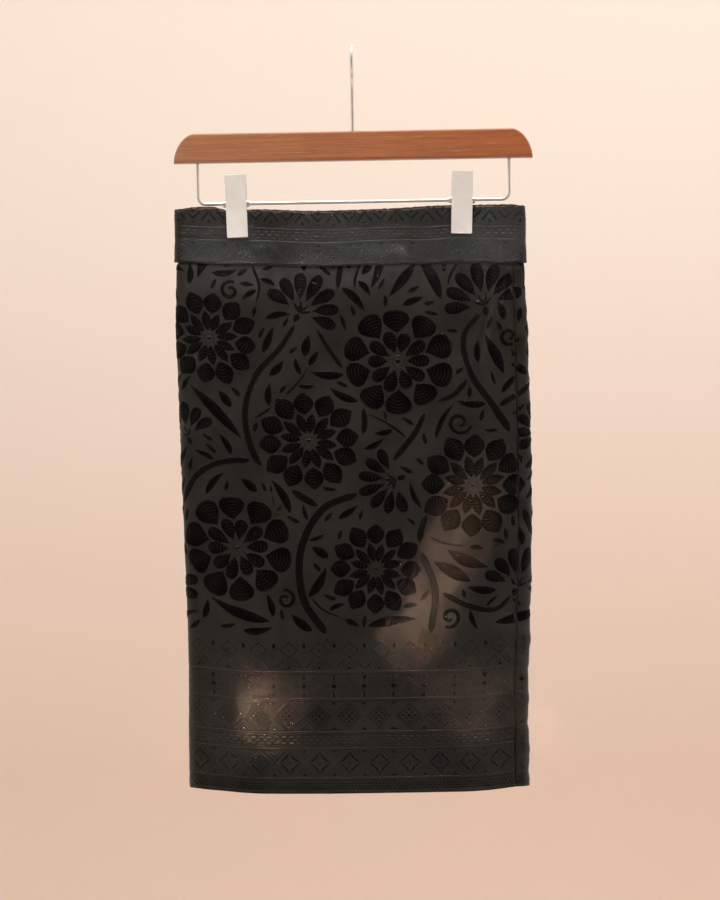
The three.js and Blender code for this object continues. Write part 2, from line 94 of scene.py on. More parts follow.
HOOK_BEND = 18.0
HOOK_WIRE = 4.0
HOOK_START = 235.0
HOOK_TIP = -42.0
SHANK_TOP = 56.0
SHANK_LEAVING = 12.0
SHANK_ARRIVING = 10.0
BAR_TOP = 89.5
BAR_HALF_LENGTH = 190.0
BAR_HEIGHT = 31.0
BAR_THICKNESS = 13.0
BAR_SHOULDER = 22.0
BAR_SHOULDER_POWER = 1.8
BAR_ROUNDING = 2.6  # of its long edges
SHANK_IN_BAR = 10.0
WIRE_IN_BAR = 7.0
WIRE_DROP = 164.0
WIRE_HALF_SPAN = 165.0
WIRE_BEND = 8.5
WIRE_DIAMETER = 3.6
CLIP_PLACES = (("left_clip", -124.5, -1.3), ("right_clip", 114.4, 2.0))
CLIP_WIDTH = 22.0
CLIP_LENGTH = 66.5
CLIP_BELOW_WIRE = 36.0
CLIP_DEPTH = 2.5
CLIP_SPREAD = 3.4
CLIP_JAW = 4.3  # from the wire's plane to a plate's foot
PLATE_CORNER = 1.1  # rounding of a plate's four corners
PLATE_RIM = 0.6  # rounding of its front rim
PLATE_WALL = 0.75  # what its pressed hollow leaves standing at the back
PLATE_SHEET = 0.8  # thickness of its floor and of its lugs
LUG_INSET = 0.65  # from the plate's side to a lug
LUG_STEP = 1.4  # how much further in the back plate's lugs stand
LUG_HEIGHT = 5.0
LUG_ROOT = 1.7  # how far a lug starts inside its plate
LUG_ROUNDING = 0.25
BARREL_RADIUS = 3.5
BARREL_BORE = 2.6
BARREL_LIP = 0.3
BARREL_GAP = 0.3  # to the lugs and to the spring
BARREL_LENGTH = 28.0
SPRING_WIRE = 1.2
SPRING_LENGTH = 11.0
SPRING_TURNS = 7

# ---- Soft relief of the cloth, placed one by one ------------------------------------------
# Each line is (along, drop) at its two ends, its width, and its depth: a ridge, or a trough
# where the depth is negative.

SKIRT_CREASES = (
    # gathers under the waistband, on the front
    (232, 229, 230, 250, 3.0, 0.5),
    (243, 228, 240, 268, 3.6, -0.7),
    (251, 229, 249, 247, 2.4, 0.8),
    (260, 228, 253, 286, 4.4, 1.1),
    (268, 229, 266, 254, 2.4, -0.9),
    (276, 228, 267, 306, 4.8, -1.2),
    (283, 229, 281, 252, 2.6, 1.1),
    (291, 228, 279, 322, 5.4, 1.6),
    (300, 229, 297, 262, 2.8, -1.2),
    (306, 228, 303, 250, 2.4, 1.0),
    (315, 228, 297, 330, 5.2, -1.6),
    (323, 229, 319, 262, 2.8, 1.3),
    (333, 228, 312, 344, 5.8, 1.9),
    (339, 229, 336, 258, 2.6, -1.0),
    (346, 228, 326, 322, 4.2, -1.3),
    (351, 230, 337, 300, 3.6, 1.3),
    # short dents across the gathers
    (300, 268, 318, 276, 2.6, 0.6),
    (322, 262, 342, 254, 2.6, -0.7),
    (326, 292, 348, 284, 3.2, 0.8),
    (330, 306, 350, 298, 2.8, -0.8),
    (258, 266, 270, 262, 2.2, 0.5),
    (284, 312, 302, 322, 4.0, 0.5),
    (110, 229, 104, 262, 3.4, 0.6),
    (118, 229, 116, 252, 2.8, -0.5),
    (127, 229, 124, 268, 3.6, 0.6),
    (141, 229, 140, 254, 3.0, -0.4),
    (152, 229, 150, 258, 3.4, 0.5),
    (176, 229, 178, 256, 4.0, 0.35),
    (14, 228, 16, 262, 3.4, 0.6),
    (26, 228, 29, 252, 3.0, -0.5),
    (40, 228, 46, 270, 4.0, 0.5),
    (62, 229, 66, 258, 3.2, 0.4),
    (80, 229, 82, 250, 3.0, -0.35),
    # long soft drags
    (316, 300, 258, 570, 12.0, 1.5),
    (290, 300, 228, 540, 11.0, -1.2),
    (338, 330, 300, 620, 11.0, -1.4),
    (226, 262, 214, 420, 13.0, 0.9),
    (70, 262, 92, 470, 14.0, -0.9),
    (34, 280, 46, 500, 12.0, 1.0),
    (150, 280, 138, 450, 15.0, 0.8),
    (56, 560, 64, 780, 13.0, 1.1),
    (120, 600, 128, 784, 13.0, -0.9),
    (202, 580, 196, 784, 13.0, 0.8),
    (262, 620, 272, 784, 11.0, -1.0),
    (300, 600, 296, 786, 11.0, 1.2),
    # small dents
    (196, 352, 208, 356, 7.0, -0.35),
    (246, 410, 262, 402, 7.0, -0.4),
    (300, 470, 318, 458, 6.0, -0.5),
    (60, 610, 78, 618, 8.0, -0.35),
    (108, 690, 122, 694, 9.0, -0.4),
    (250, 700, 272, 694, 8.0, -0.4),
    (312, 664, 330, 656, 6.0, -0.5),
    # between the front seam and the right fold
    (366, 232, 358, 262, 3.6, 1.1),
    (372, 250, 357, 300, 4.2, -1.0),
    (374, 300, 358, 320, 5.0, 0.9),
    (376, 342, 358, 352, 5.0, -0.9),
    (372, 380, 357, 374, 4.2, 1.0),
    (376, 402, 358, 412, 4.4, -1.0),
    (374, 440, 357, 430, 4.4, 0.9),
    (378, 462, 358, 470, 4.6, -0.8),
    (374, 500, 357, 492, 4.6, 1.0),
    (376, 530, 358, 540, 4.6, -0.9),
    (374, 566, 357, 556, 4.4, 0.9),
    (378, 596, 358, 604, 4.6, -1.0),
    (374, 634, 357, 622, 4.8, 1.2),
    (376, 660, 358, 668, 4.2, -1.1),
    (374, 696, 357, 686, 4.4, 1.2),
    (378, 716, 358, 724, 4.4, -1.4),
    (374, 748, 357, 738, 4.8, 1.2),
    (374, 768, 358, 774, 4.2, -0.8),
    # the left fold
    (6, 240, 2, 330, 5.0, 0.8),
    (-6, 300, 3, 420, 6.0, -0.7),
    (4, 430, -2, 560, 6.0, 0.6),
    (-4, 580, 4, 700, 6.0, -0.6),
    # the back
    (-30, 229, -34, 280, 4.0, 0.8),
    (-44, 229, -46, 262, 3.4, -0.7),
    (-66, 229, -70, 270, 4.0, 0.7),
    (-104, 229, -102, 266, 4.0, 0.6),
    (-118, 229, -120, 254, 3.4, -0.5),
    (-158, 229, -156, 270, 4.4, 0.7),
    (-190, 229, -192, 260, 4.0, -0.5),
    (-224, 229, -220, 268, 4.0, 0.6),
    (-250, 229, -252, 286, 4.4, 0.9),
    (-262, 229, -262, 266, 3.4, -0.8),
    (-288, 229, -290, 276, 4.2, 0.9),
    (-306, 229, -304, 290, 4.4, -0.8),
    (-330, 229, -334, 270, 4.0, 0.7),
    (-352, 229, -350, 262, 3.6, -0.6),
    (-90, 280, -130, 560, 13.0, 0.9),
    (-160, 290, -150, 520, 14.0, -0.8),
    (-240, 280, -214, 600, 13.0, 0.9),
    (-300, 300, -282, 560, 12.0, -0.9),
    (-60, 520, -50, 780, 12.0, -0.7),
    (-140, 590, -146, 784, 12.0, 0.8),
    (-226, 620, -236, 784, 12.0, -0.7),
    (-312, 590, -316, 784, 12.0, 0.8),
    (-110, 430, -130, 438, 8.0, -0.4),
    (-260, 450, -278, 444, 8.0, -0.4),
    (-190, 660, -208, 668, 8.0, -0.4),
)
SEAM_PUCKERS = (
    # (drop, how far they reach to the left and to the right, depth)
    (240, 12, 12, 1.0), (256, 10, 12, -0.8), (273, 13, 13, 0.9), (290, 9, 12, -0.8),
    (308, 12, 12, 0.7), (326, 9, 14, -0.8), (345, 10, 12, 0.7), (362, 9, 13, -0.8),
    (380, 11, 12, 0.9), (396, 8, 12, -0.8), (414, 12, 13, 1.0), (431, 9, 12, -1.2),
    (449, 12, 13, 1.2), (465, 10, 12, -1.2), (482, 13, 13, 1.4), (499, 10, 12, -1.2),
    (517, 13, 13, 1.4), (534, 11, 12, -1.2), (551, 13, 13, 1.2), (569, 10, 12, -1.2),
    (587, 12, 14, 1.2), (604, 11, 12, -1.4), (621, 13, 13, 1.5), (637, 12, 13, -1.5),
    (654, 15, 14, 1.7), (670, 12, 13, -1.3), (686, 15, 14, 1.3), (702, 13, 13, -1.4),
    (719, 15, 14, 1.1), (735, 12, 13, -1.1), (751, 14, 13, 1.0), (768, 11, 12, -0.9),
)
BAND_CREASES = (
    # (along, up) at both ends, width, depth, on the waistband
    (20, 8, 34, 44, 6.0, 0.35),
    (40, 4, 48, 30, 5.0, -0.4),
    (88, 26, 100, 4, 6.0, 0.5),
    (104, 40, 118, 10, 6.0, -0.4),
    (140, 2, 190, 6, 6.0, 0.5),
    (196, 16, 214, 4, 5.0, -0.4),
    (210, 52, 232, 48, 5.0, 0.5),
    (226, 6, 262, 8, 6.0, 0.5),
    (262, 30, 282, 8, 6.0, 0.5),
    (288, 6, 326, 10, 6.0, 0.5),
    (330, 36, 344, 12, 6.0, -0.5),
    (350, 4, 366, 40, 7.0, 0.5),
    (-30, 10, -60, 40, 8.0, 0.5),
    (-84, 30, -110, 8, 7.0, -0.4),
    (-150, 10, -190, 14, 8.0, 0.5),
    (-230, 44, -256, 12, 7.0, 0.5),
    (-300, 12, -330, 36, 8.0, -0.4),
)


# ---- Small helpers ------------------------------------------------------------------------


def table_reader(table):
    """A quick reader of a table of two columns, joined by one smooth curve."""
    keys = np.array([row[0] for row in table], float)
    values = np.array([row[1] for row in table], float)
    slopes = np.gradient(values, keys)
    fine = np.linspace(keys[0], keys[-1], 600)
    i = np.clip(np.searchsorted(keys, fine, side="right") - 1, 0, len(keys) - 2)
    span = keys[i + 1] - keys[i]
    t = (fine - keys[i]) / span
    curve = values[i] * (1 + 2 * t) * (1 - t) ** 2 + values[i + 1] * (3 - 2 * t) * t**2
    curve += slopes[i] * span * t * (1 - t) ** 2 + slopes[i + 1] * span * t**2 * (t - 1)
    return lambda at: np.interp(at, fine, curve)


top_edge = table_reader(TOP_EDGE)
band_edge = table_reader(BAND_EDGE)
hem_edge = table_reader(HEM_EDGE)
fold_radius = table_reader(FOLD_RADIUS)


def smooth_step(value, low, high):
    """0 below low, 1 above high, and smooth between."""
    t = np.clip((value - low) / (high - low), 0.0, 1.0)
    return t * t * (3 - 2 * t)


def bell(value, middle, width, height):
    """A soft hump at a middle."""
    return height * np.exp(-(((value - middle) / width) ** 2))


def soft_line(along, down, line):
    """The relief of one crease at many places: it fades out at both ends."""
    from_along, from_down, to_along, to_down, width, depth = line
    run = np.array([to_along - from_along, to_down - from_down], float)
    length = math.hypot(*run)
    run /= length
    x = along - from_along
    y = down - from_down
    share = np.clip((x * run[0] + y * run[1]) / length, 0.0, 1.0)
    away = np.hypot(x - share * length * run[0], y - share * length * run[1])
    fade = 0.25 + 0.75 * np.sin(np.pi * np.clip(share, 0.04, 0.96)) ** 0.6
    return fade * bell(away, 0.0, width, depth)


def settings():
    return bpy.context.scene.samping


def make_object(name, mesh, material=None, smooth_below=None):
    """A finished object at the origin, riding on the part's one body."""
    obj = bpy.data.objects.new(name, mesh)
    bpy.context.scene.collection.objects.link(obj)
    if material is not None:
        mesh.materials.append(material)
    if smooth_below is not None:
        mesh.shade_smooth()
        mesh.set_sharp_from_angle(angle=math.radians(smooth_below))
    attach(obj, BODY)
    return obj


def mesh_from(work, name):
    """Turns a bmesh in millimetres into a mesh in metres."""
    bmesh.ops.scale(work, vec=(MM, MM, MM), verts=work.verts)
    mesh = bpy.data.meshes.new(name)
    work.to_mesh(mesh)
    work.free()
    return mesh


# ---- Node helpers and shared effects ------------------------------------------------------


class NodeTree:
    """Adds nodes to a tree and links them, in few words."""

    def __init__(self, tree):
        self.tree = tree

    def add(self, kind, inputs=None, **values):
        node = self.tree.nodes.new(kind)
        for name, value in values.items():
            setattr(node, name, value)
        for name, value in (inputs or {}).items():
            self.feed(node.inputs[name], value)
        return node

    def feed(self, socket, value):
        if isinstance(value, bpy.types.NodeSocket):
            self.tree.links.new(value, socket)
        else:
            socket.default_value = value

    def math(self, operation, *values):
        node = self.add("ShaderNodeMath", operation=operation)
        for socket, value in zip(node.inputs, values):
            self.feed(socket, value)
        return node.outputs[0]

    def remap(self, value, low, high, to_low=0.0, to_high=1.0):
        ends = {"From Min": low, "From Max": high, "To Min": to_low, "To Max": to_high}
        return self.add("ShaderNodeMapRange", {"Value": value, **ends}).outputs["Result"]

    def mix(self, share, first, second):
        node = self.add("ShaderNodeMix", data_type="RGBA")
        self.feed(node.inputs["Factor"], share)
        self.feed(node.inputs["A"], first)
        self.feed(node.inputs["B"], second)
        return node.outputs["Result"]

    def object_place(self):
        return self.add("ShaderNodeTexCoord").outputs["Object"]

    def stretched(self, place, scale, turn=(0.0, 0.0, 0.0)):
        node = self.add("ShaderNodeMapping", {"Vector": place, "Scale": scale, "Rotation": turn})
        return node.outputs["Vector"]

    def noise(self, place, scale, detail=2.0, roughness=0.5):
        node = self.add(
            "ShaderNodeTexNoise",
            {"Vector": place, "Scale": scale, "Detail": detail, "Roughness": roughness},
        )
        return node.outputs["Fac"]


def new_group(name, inputs, outputs):
    """An empty node group with named sockets, and its two end nodes."""
    group = bpy.data.node_groups.new(name, "ShaderNodeTree")
    for label, kind, default in inputs:
        socket = group.interface.new_socket(label, in_out="INPUT", socket_type=kind)
        if default is not None:
            socket.default_value = default
    for label, kind in outputs:
        group.interface.new_socket(label, in_out="OUTPUT", socket_type=kind)
    tree = NodeTree(group)
    return group, tree, tree.add("NodeGroupInput").outputs, tree.add("NodeGroupOutput").inputs


def weave_group():
    """Fine threads both ways, from a place in metres: a height and a slow unevenness."""
    group, tree, given, gives = new_group(
        "Weave",
        [
            ("Place", "NodeSocketVector", None),
            ("Threads per metre", "NodeSocketFloat", 1800.0),
            ("Slub", "NodeSocketFloat", 0.5),
        ],
        [("Height", "NodeSocketFloat"), ("Unevenness", "NodeSocketFloat")],
    )
    parts = tree.add("ShaderNodeSeparateXYZ", {"Vector": given["Place"]}).outputs
    turn = tree.math("MULTIPLY", given["Threads per metre"], 2 * math.pi)
    weft = tree.math("SINE", tree.math("MULTIPLY", parts["Z"], turn))
    warp = tree.math("SINE", tree.math("MULTIPLY", parts["X"], turn))
    slub = tree.noise(given["Place"], 420.0, 3.0)
    threads = tree.math("ADD", tree.math("MULTIPLY", weft, 0.3), tree.math("MULTIPLY", warp, 0.2))
    uneven = tree.math("MULTIPLY", tree.math("SUBTRACT", slub, 0.5), given["Slub"])
    tree.feed(gives["Height"], tree.math("ADD", threads, uneven))
    tree.feed(gives["Unevenness"], tree.noise(given["Place"], 22.0, 3.0))
    return group


def wood_group():
    """Long fine grain along X with a few darker pores."""
    group, tree, given, gives = new_group(
        "Wood grain",
        [("Place", "NodeSocketVector", None)],
        [(label, "NodeSocketFloat") for label in ("Grain", "Pores", "Blotches")],
    )
    long_way = tree.stretched(given["Place"], (14.0, 200.0, 700.0))
    tree.feed(gives["Grain"], tree.noise(long_way, 1.0, 5.0, 0.62))
    pores = tree.noise(tree.stretched(given["Place"], (34.0, 300.0, 1500.0)), 1.0)
    tree.feed(gives["Pores"], tree.remap(pores, 0.6, 0.74))
    tree.feed(gives["Blotches"], tree.noise(given["Place"], 16.0, 2.0))
    return group


def scuff_group():
    """Thin short scratches at several turns, and soft smudges."""
    group, tree, given, gives = new_group(
        "Scuffs",
        [("Place", "NodeSocketVector", None), ("Amount", "NodeSocketFloat", 0.5)],
        [("Scratches", "NodeSocketFloat"), ("Smudges", "NodeSocketFloat")],
    )
    found = None
    for turn, stretch in ((0.5, 900.0), (1.9, 700.0)):
        lines = tree.stretched(given["Place"], (60.0, 60.0, stretch), (0.0, turn, 0.0))
        line = tree.remap(tree.noise(lines, 1.0, 1.0), 0.70, 0.76)
        found = line if found is None else tree.math("MAXIMUM", found, line)
    tree.feed(gives["Scratches"], tree.math("MULTIPLY", found, given["Amount"]))
    tree.feed(gives["Smudges"], tree.noise(given["Place"], 60.0, 3.0))
    return group


def once(store, name, maker):
    """A shared group or material, made the first time that it is asked for."""
    return store.get(name) or maker()


def new_material(name):
    """A material with its nodes cleared, its tree, its Principled shader and its output."""
    material = bpy.data.materials.new(name)
    material.use_nodes = True
    material.node_tree.nodes.clear()
    tree = NodeTree(material.node_tree)
    shader = tree.add("ShaderNodeBsdfPrincipled")
    output = tree.add("ShaderNodeOutputMaterial")
    tree.feed(output.inputs["Surface"], shader.outputs["BSDF"])
    return material, tree, shader


def use_group(tree, name, maker, inputs):
    """Places a shared effect in a material with the material's own values."""
    node = tree.add("ShaderNodeGroup", node_tree=once(bpy.data.node_groups, name, maker))
    for label, value in inputs.items():
        tree.feed(node.inputs[label], value)
    return node.outputs


def toned(colour, share):
    """A colour made darker or lighter by a share of its three parts, with full alpha."""
    return (*(share * part for part in colour[:3]), 1.0)


def bump(tree, shader, height, depth, strength=1.0):
    node = tree.add("ShaderNodeBump", {"Height": height, "Distance": depth, "Strength": strength})
    tree.feed(shader.inputs["Normal"], node.outputs["Normal"])


def satin_material():
    """The ground of the brocade: smooth black satin with a warm grey bloom."""
    colours = settings().colours
    material, tree, shader = new_material("black satin ground")
    place = tree.object_place()
    weave = use_group(tree, "Weave", weave_group, {"Place": place, "Slub": 0.5})
    tint = tree.remap(weave["Unevenness"], 0.35, 0.65)
    satin_tone = tree.mix(tint, toned(colours.ground, 0.82), toned(colours.ground, 1.18))
    tree.feed(shader.inputs["Base Color"], satin_tone)
    tree.feed(shader.inputs["Roughness"], tree.remap(weave["Unevenness"], 0.3, 0.7, 0.27, 0.34))
    shader.inputs["Specular IOR Level"].default_value = 0.25
    bump(tree, shader, weave["Height"], 0.00006, 0.35)
    return material


def motif_material():
    """The figure of the brocade: matt black raised threads."""
    colours = settings().colours
    material, tree, shader = new_material("raised black figure")
    place = tree.object_place()
    coarse = {"Place": place, "Threads per metre": 1300.0, "Slub": 0.9}
    weave = use_group(tree, "Weave", weave_group, coarse)
    tint = tree.remap(weave["Unevenness"], 0.35, 0.65)
    threads = tree.mix(tint, toned(colours.figure, 0.8), toned(colours.figure, 1.25))
    rib = tree.add("ShaderNodeAttribute", attribute_name=RIB).outputs["Fac"]
    on_rib = tree.remap(rib, 0.08, 0.4)
    between = toned(colours.ground, 0.55)
    tree.feed(shader.inputs["Base Color"], tree.mix(on_rib, between, threads))
    tree.feed(shader.inputs["Roughness"], tree.remap(weave["Height"], -0.5, 0.5, 0.24, 0.3))
    tree.feed(shader.inputs["Specular IOR Level"], tree.remap(rib, 0.6, 1.0, 0.03, 0.55))
    bump(tree, shader, weave["Height"], 0.0001, 0.3)
    return material


def wood_material():
    """Stained and varnished wood, redder to the right, with painted light: paler and pinker towards
    the left end, where the light falls.
    """
    colours = settings().colours
    material, tree, shader = new_material("stained wood")
    place = tree.object_place()
    grain = use_group(tree, "Wood grain", wood_group, {"Place": place})
    scuffs = use_group(tree, "Scuffs", scuff_group, {"Place": place, "Amount": 0.5})
    parts = tree.add("ShaderNodeSeparateXYZ", {"Vector": place}).outputs
    # painted light: the stain turns paler and pinker towards the left end, as if lit from that side
    rightwards = tree.remap(parts["X"], -0.19, 0.19)
    lit_stain = tree.mix(rightwards, tuple(colours.wood_lit_left), tuple(colours.wood_right))
    dark = tree.mix(0.34, lit_stain, (0.06, 0.02, 0.01, 1.0))
    streak = tree.remap(grain["Grain"], 0.36, 0.66)
    board = tree.mix(streak, dark, lit_stain)
    board = tree.mix(tree.math("MULTIPLY", grain["Pores"], 0.5), board, (0.04, 0.015, 0.008, 1.0))
    board = tree.mix(tree.remap(grain["Blotches"], 0.4, 0.7, 0.0, 0.25), board, dark)
    pale = tree.mix(0.6, lit_stain, (0.8, 0.55, 0.4, 1.0))
    board = tree.mix(tree.math("MULTIPLY", scuffs["Scratches"], 0.5), board, pale)
    tree.feed(shader.inputs["Base Color"], board)
    tree.feed(shader.inputs["Roughness"], tree.remap(grain["Grain"], 0.3, 0.7, 0.5, 0.38))
    shader.inputs["Specular IOR Level"].default_value = 0.5
    shader.inputs["Coat Weight"].default_value = 0.25
    shader.inputs["Coat Roughness"].default_value = 0.25
    bump(tree, shader, grain["Grain"], 0.00012, 0.4)
    return material


def chrome_material():
    """Bright plated wire with faint smudges."""
    colours = settings().colours
    material, tree, shader = new_material("bright plated wire")
    place = tree.object_place()
    scuffs = use_group(tree, "Scuffs", scuff_group, {"Place": place, "Amount": 0.4})
    dull = tree.remap(scuffs["Smudges"], 0.4, 0.7, 0.0, 0.35)
    tone = tree.mix(dull, tuple(colours.plating), (0.62, 0.56, 0.5, 1.0))
    tree.feed(shader.inputs["Base Color"], tone)
    shader.inputs["Metallic"].default_value = 0.6
    tree.feed(shader.inputs["Roughness"], tree.remap(scuffs["Smudges"], 0.3, 0.8, 0.1, 0.24))
    bump(tree, shader, scuffs["Scratches"], 0.00002, 0.4)
    return material


def bright_painted_plate_material():
    """Satin-plated clip plates with a painted reflection: their near-white colour stands in for the
    bright light that the plating mirrors.
    """
    colours = settings().colours
    material, tree, shader = new_material("clip plate with painted reflection")
    place = tree.object_place()
    scuffs = use_group(tree, "Scuffs", scuff_group, {"Place": place, "Amount": 0.5})
    brush = tree.noise(tree.stretched(place, (900.0, 900.0, 40.0)), 1.0)
    shade = tree.remap(scuffs["Smudges"], 0.35, 0.7, 0.0, 0.25)
    # painted reflection: the near-white clip colour stands in for mirrored light; the smudges
    # darken it
    tone = tree.mix(shade, tuple(colours.clip), (0.66, 0.6, 0.53, 1.0))
    tree.feed(shader.inputs["Base Color"], tone)
    shader.inputs["Metallic"].default_value = 0.04
    tree.feed(shader.inputs["Roughness"], tree.remap(brush, 0.3, 0.7, 0.34, 0.44))
    height = tree.math("ADD", tree.math("MULTIPLY", brush, 0.3), scuffs["Scratches"])
    bump(tree, shader, height, 0.00002, 0.5)
    return material


def thread_material():
    """Black sewing thread."""
    material, tree, shader = new_material("black sewing thread")
    twist = tree.noise(tree.object_place(), 900.0, 1.0)
    tone = tree.mix(twist, (0.006, 0.006, 0.006, 1.0), (0.02, 0.019, 0.018, 1.0))
    tree.feed(shader.inputs["Base Color"], tone)
    tree.feed(shader.inputs["Roughness"], tree.remap(twist, 0.3, 0.7, 0.45, 0.6))
    shader.inputs["Specular IOR Level"].default_value = 0.15
    return material


def lit_fibre_material():
    """Fibres that stand out of a woven edge, painted pale: a painted highlight for the light that
    catches them from behind.
    """
    material, tree, shader = new_material("edge fibres with painted highlight")
    twist = tree.noise(tree.object_place(), 700.0, 1.0)
    # painted highlight: the pale tone stands in for light caught on the fibres
    tone = tree.mix(twist, (0.10, 0.07, 0.045, 1.0), (0.50, 0.34, 0.24, 1.0))
    tree.feed(shader.inputs["Base Color"], tone)
    shader.inputs["Roughness"].default_value = 0.7
    return material


def satin():
    return once(bpy.data.materials, "black satin ground", satin_material)


def figure():
    return once(bpy.data.materials, "raised black figure", motif_material)


def plating():
    return once(bpy.data.materials, "bright plated wire", chrome_material)


# ---- The faces of the cloth ---------------------------------------------------------------


def solid_tree(node):
    """A search tree of a merged copy of a solid."""
    work = bmesh.new()
    work.from_mesh(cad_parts[node].data)
    bmesh.ops.remove_doubles(work, verts=work.verts, dist=1e-6)
    tree = BVHTree.FromBMesh(work)
    work.free()
    return tree


def side_of(tree, drop, side):
    """Where the tube's side fold lies at a drop, in millimetres."""
    start = Vector((side * 0.4, 0.0, -drop * MM))
    hit = tree.ray_cast(start, Vector((-side, 0.0, 0.0)))[0]
    return None if hit is None else hit.x / MM


ACROSS_WEIGHTS = ((-2, 0.1), (-1, 0.24), (0, 0.32), (1, 0.24), (2, 0.1))
UPWARD_WEIGHTS = (
    (-3, 0.12), (-2, 0.14), (-1, 0.16), (0, 0.16), (1, 0.16), (2, 0.14), (3, 0.12),
)
SMOOTHING_ROUNDS = 3
RAY_START = 0.06  # metres out from the cloth's middle, clear of all folds
OUTLINE_DROPS = (170.0, 782.0, 4.0)
EDGE_MARGIN = 1.5  # rays stay this far inside the cloth's edges


class ClothFace:
    """The outer face of a tube of cloth as a lattice that lies on its solid, smoothed.

    Rows run up from the lower edge, and columns round the tube."""

    def __init__(self, node, upper, lower, columns, heights, proud):
        self.columns = np.asarray(columns, float)
        self.heights = np.asarray(heights, float)  # shares, 0 at the lower edge
        self.upper = upper
        self.lower = lower
        tree = solid_tree(node)
        drops = np.arange(*OUTLINE_DROPS)
        sides = {}
        for side in (-1, 1):
            found = [(d, side_of(tree, d, side)) for d in drops]
            found = [pair for pair in found if pair[1] is not None and pair[1] * side > 0]
            sides[side] = (np.array([f[0] for f in found]), np.array([f[1] for f in found]))
        self.outline = sides
        self.points = self._sample(tree, proud)
        self._smooth()
        self._find_normals()

    def _ends(self, drop, proud):
        left = float(np.interp(drop, *self.outline[-1]))
        right = float(np.interp(drop, *self.outline[1]))
        return left, right, float(fold_radius(drop)) + proud

    def _sample(self, tree, proud):
        rows, columns = len(self.heights), len(self.columns)
        points = np.full((rows, columns, 3), np.nan)
        for j, along in enumerate(self.columns):
            wrapped = (along + HALF_GIRTH) % GIRTH - HALF_GIRTH
            front = wrapped >= 0
            turn = abs(wrapped)
            for i, share in enumerate(self.heights):
                x = turn - HALF_GIRTH / 2
                for _ in range(3):
                    low, high = float(self.lower(x)), float(self.upper(x))
                    drop = low + (high - low) * share
                    left, right, radius = self._ends(drop, proud)
                    flat = (turn - QUARTER_FOLD) / (HALF_GIRTH - 2 * QUARTER_FOLD)
                    x = left + radius + (right - left - 2 * radius) * min(max(flat, 0.0), 1.0)
                seen = min(max(drop, high + EDGE_MARGIN), low - EDGE_MARGIN)
                facing = -1.0 if front else 1.0
                if 0.0 <= flat <= 1.0:
                    direction = Vector((0.0, facing, 0.0))
                else:
                    side = -1.0 if flat < 0 else 1.0
                    reach = turn if side < 0 else HALF_GIRTH - turn
                    angle = reach / QUARTER_FOLD * math.pi / 2
                    direction = Vector((side * math.cos(angle), facing * math.sin(angle), 0.0))
                centre = Vector((x * MM, 0.0, -seen * MM))
                hit = tree.ray_cast(centre + direction * RAY_START, -direction, RAY_START)[0]
                if hit is not None:
                    points[i, j] = (hit.x / MM, hit.y / MM, -drop)
        for i in range(rows):  # the gap of the solid's seam lets a ray through
            bad = np.isnan(points[i, :, 0])
            if bad.all():
                continue
            good = np.flatnonzero(~bad)
            for axis in range(3):
                points[i, bad, axis] = np.interp(np.flatnonzero(bad), good, points[i, good, axis])
        missing = [i for i in range(rows) if np.isnan(points[i, 0, 0])]
        for i in missing:
            other = min((k for k in range(rows) if k not in missing), key=lambda k: abs(k - i))
            points[i] = points[other]
        return points

    def _smooth(self):
        """Rounds off the facets: every place moves to a weighted mean of its neighbours."""
        depth = self.points[:, :, :2].copy()
        rows, columns = depth.shape[:2]
        for _ in range(SMOOTHING_ROUNDS):
            wide = np.concatenate([depth[:, -5:-1], depth, depth[:, 1:5]], axis=1)
            depth = sum(w * wide[:, 4 + k : 4 + k + columns] for k, w in ACROSS_WEIGHTS)
            tall = np.concatenate([depth[:1]] * 3 + [depth] + [depth[-1:]] * 3, axis=0)
            depth = sum(w * tall[3 + k : 3 + k + rows] for k, w in UPWARD_WEIGHTS)
        self.points[:, :, :2] = depth

    def _find_normals(self):
        across = np.gradient(self.points, self.columns, axis=1)
        upwards = np.gradient(self.points, self.heights, axis=0)
        normals = np.cross(across, upwards)
        normals /= np.linalg.norm(normals, axis=2, keepdims=True) + 1e-12
        outward = self.points[:, :, 1] * normals[:, :, 1]
        if np.median(outward[np.abs(self.points[:, :, 1]) > 2.0]) < 0:
            normals = -normals
        self.normals = normals

    def push(self, relief):
        """Moves every place out by a relief in millimetres."""
        self.points = self.points + self.normals * relief[:, :, None]
        self._find_normals()

    def height_of(self, along):
        """The cloth's whole height at many places along."""
        tall = self.points[-1, :, 2] - self.points[0, :, 2]
        return np.interp(along, self.columns, tall)

    def at(self, along, up, lift):
        """Points of the face, in millimetres, for arrays of chart places and of lifts."""
        along = np.clip(along, self.columns[0], self.columns[-1])
        share = np.clip(up / self.height_of(along), 0.0, 1.0)
        column = np.interp(along, self.columns, np.arange(len(self.columns)))
        row = np.interp(share, self.heights, np.arange(len(self.heights)))
        j = np.minimum(column.astype(int), len(self.columns) - 2)
        i = np.minimum(row.astype(int), len(self.heights) - 2)
        a, b = (column - j)[:, None], (row - i)[:, None]

        def blend(field):
            low = field[i, j] * (1 - a) + field[i, j + 1] * a
            high = field[i + 1, j] * (1 - a) + field[i + 1, j + 1] * a
            return low * (1 - b) + high * b

        return blend(self.points) + blend(self.normals) * lift[:, None]


def stepped_columns(stops, end):
    """Places from stop to stop, each run with its own step: closer where the cloth folds."""
    columns = []
    starts = [start for start, _ in stops]
    for (start, step), stop in zip(stops, starts[1:] + [end]):
        count = max(1, round((stop - start) / step))
        columns += [start + (stop - start) * k / count for k in range(count)]
    return columns + [end]


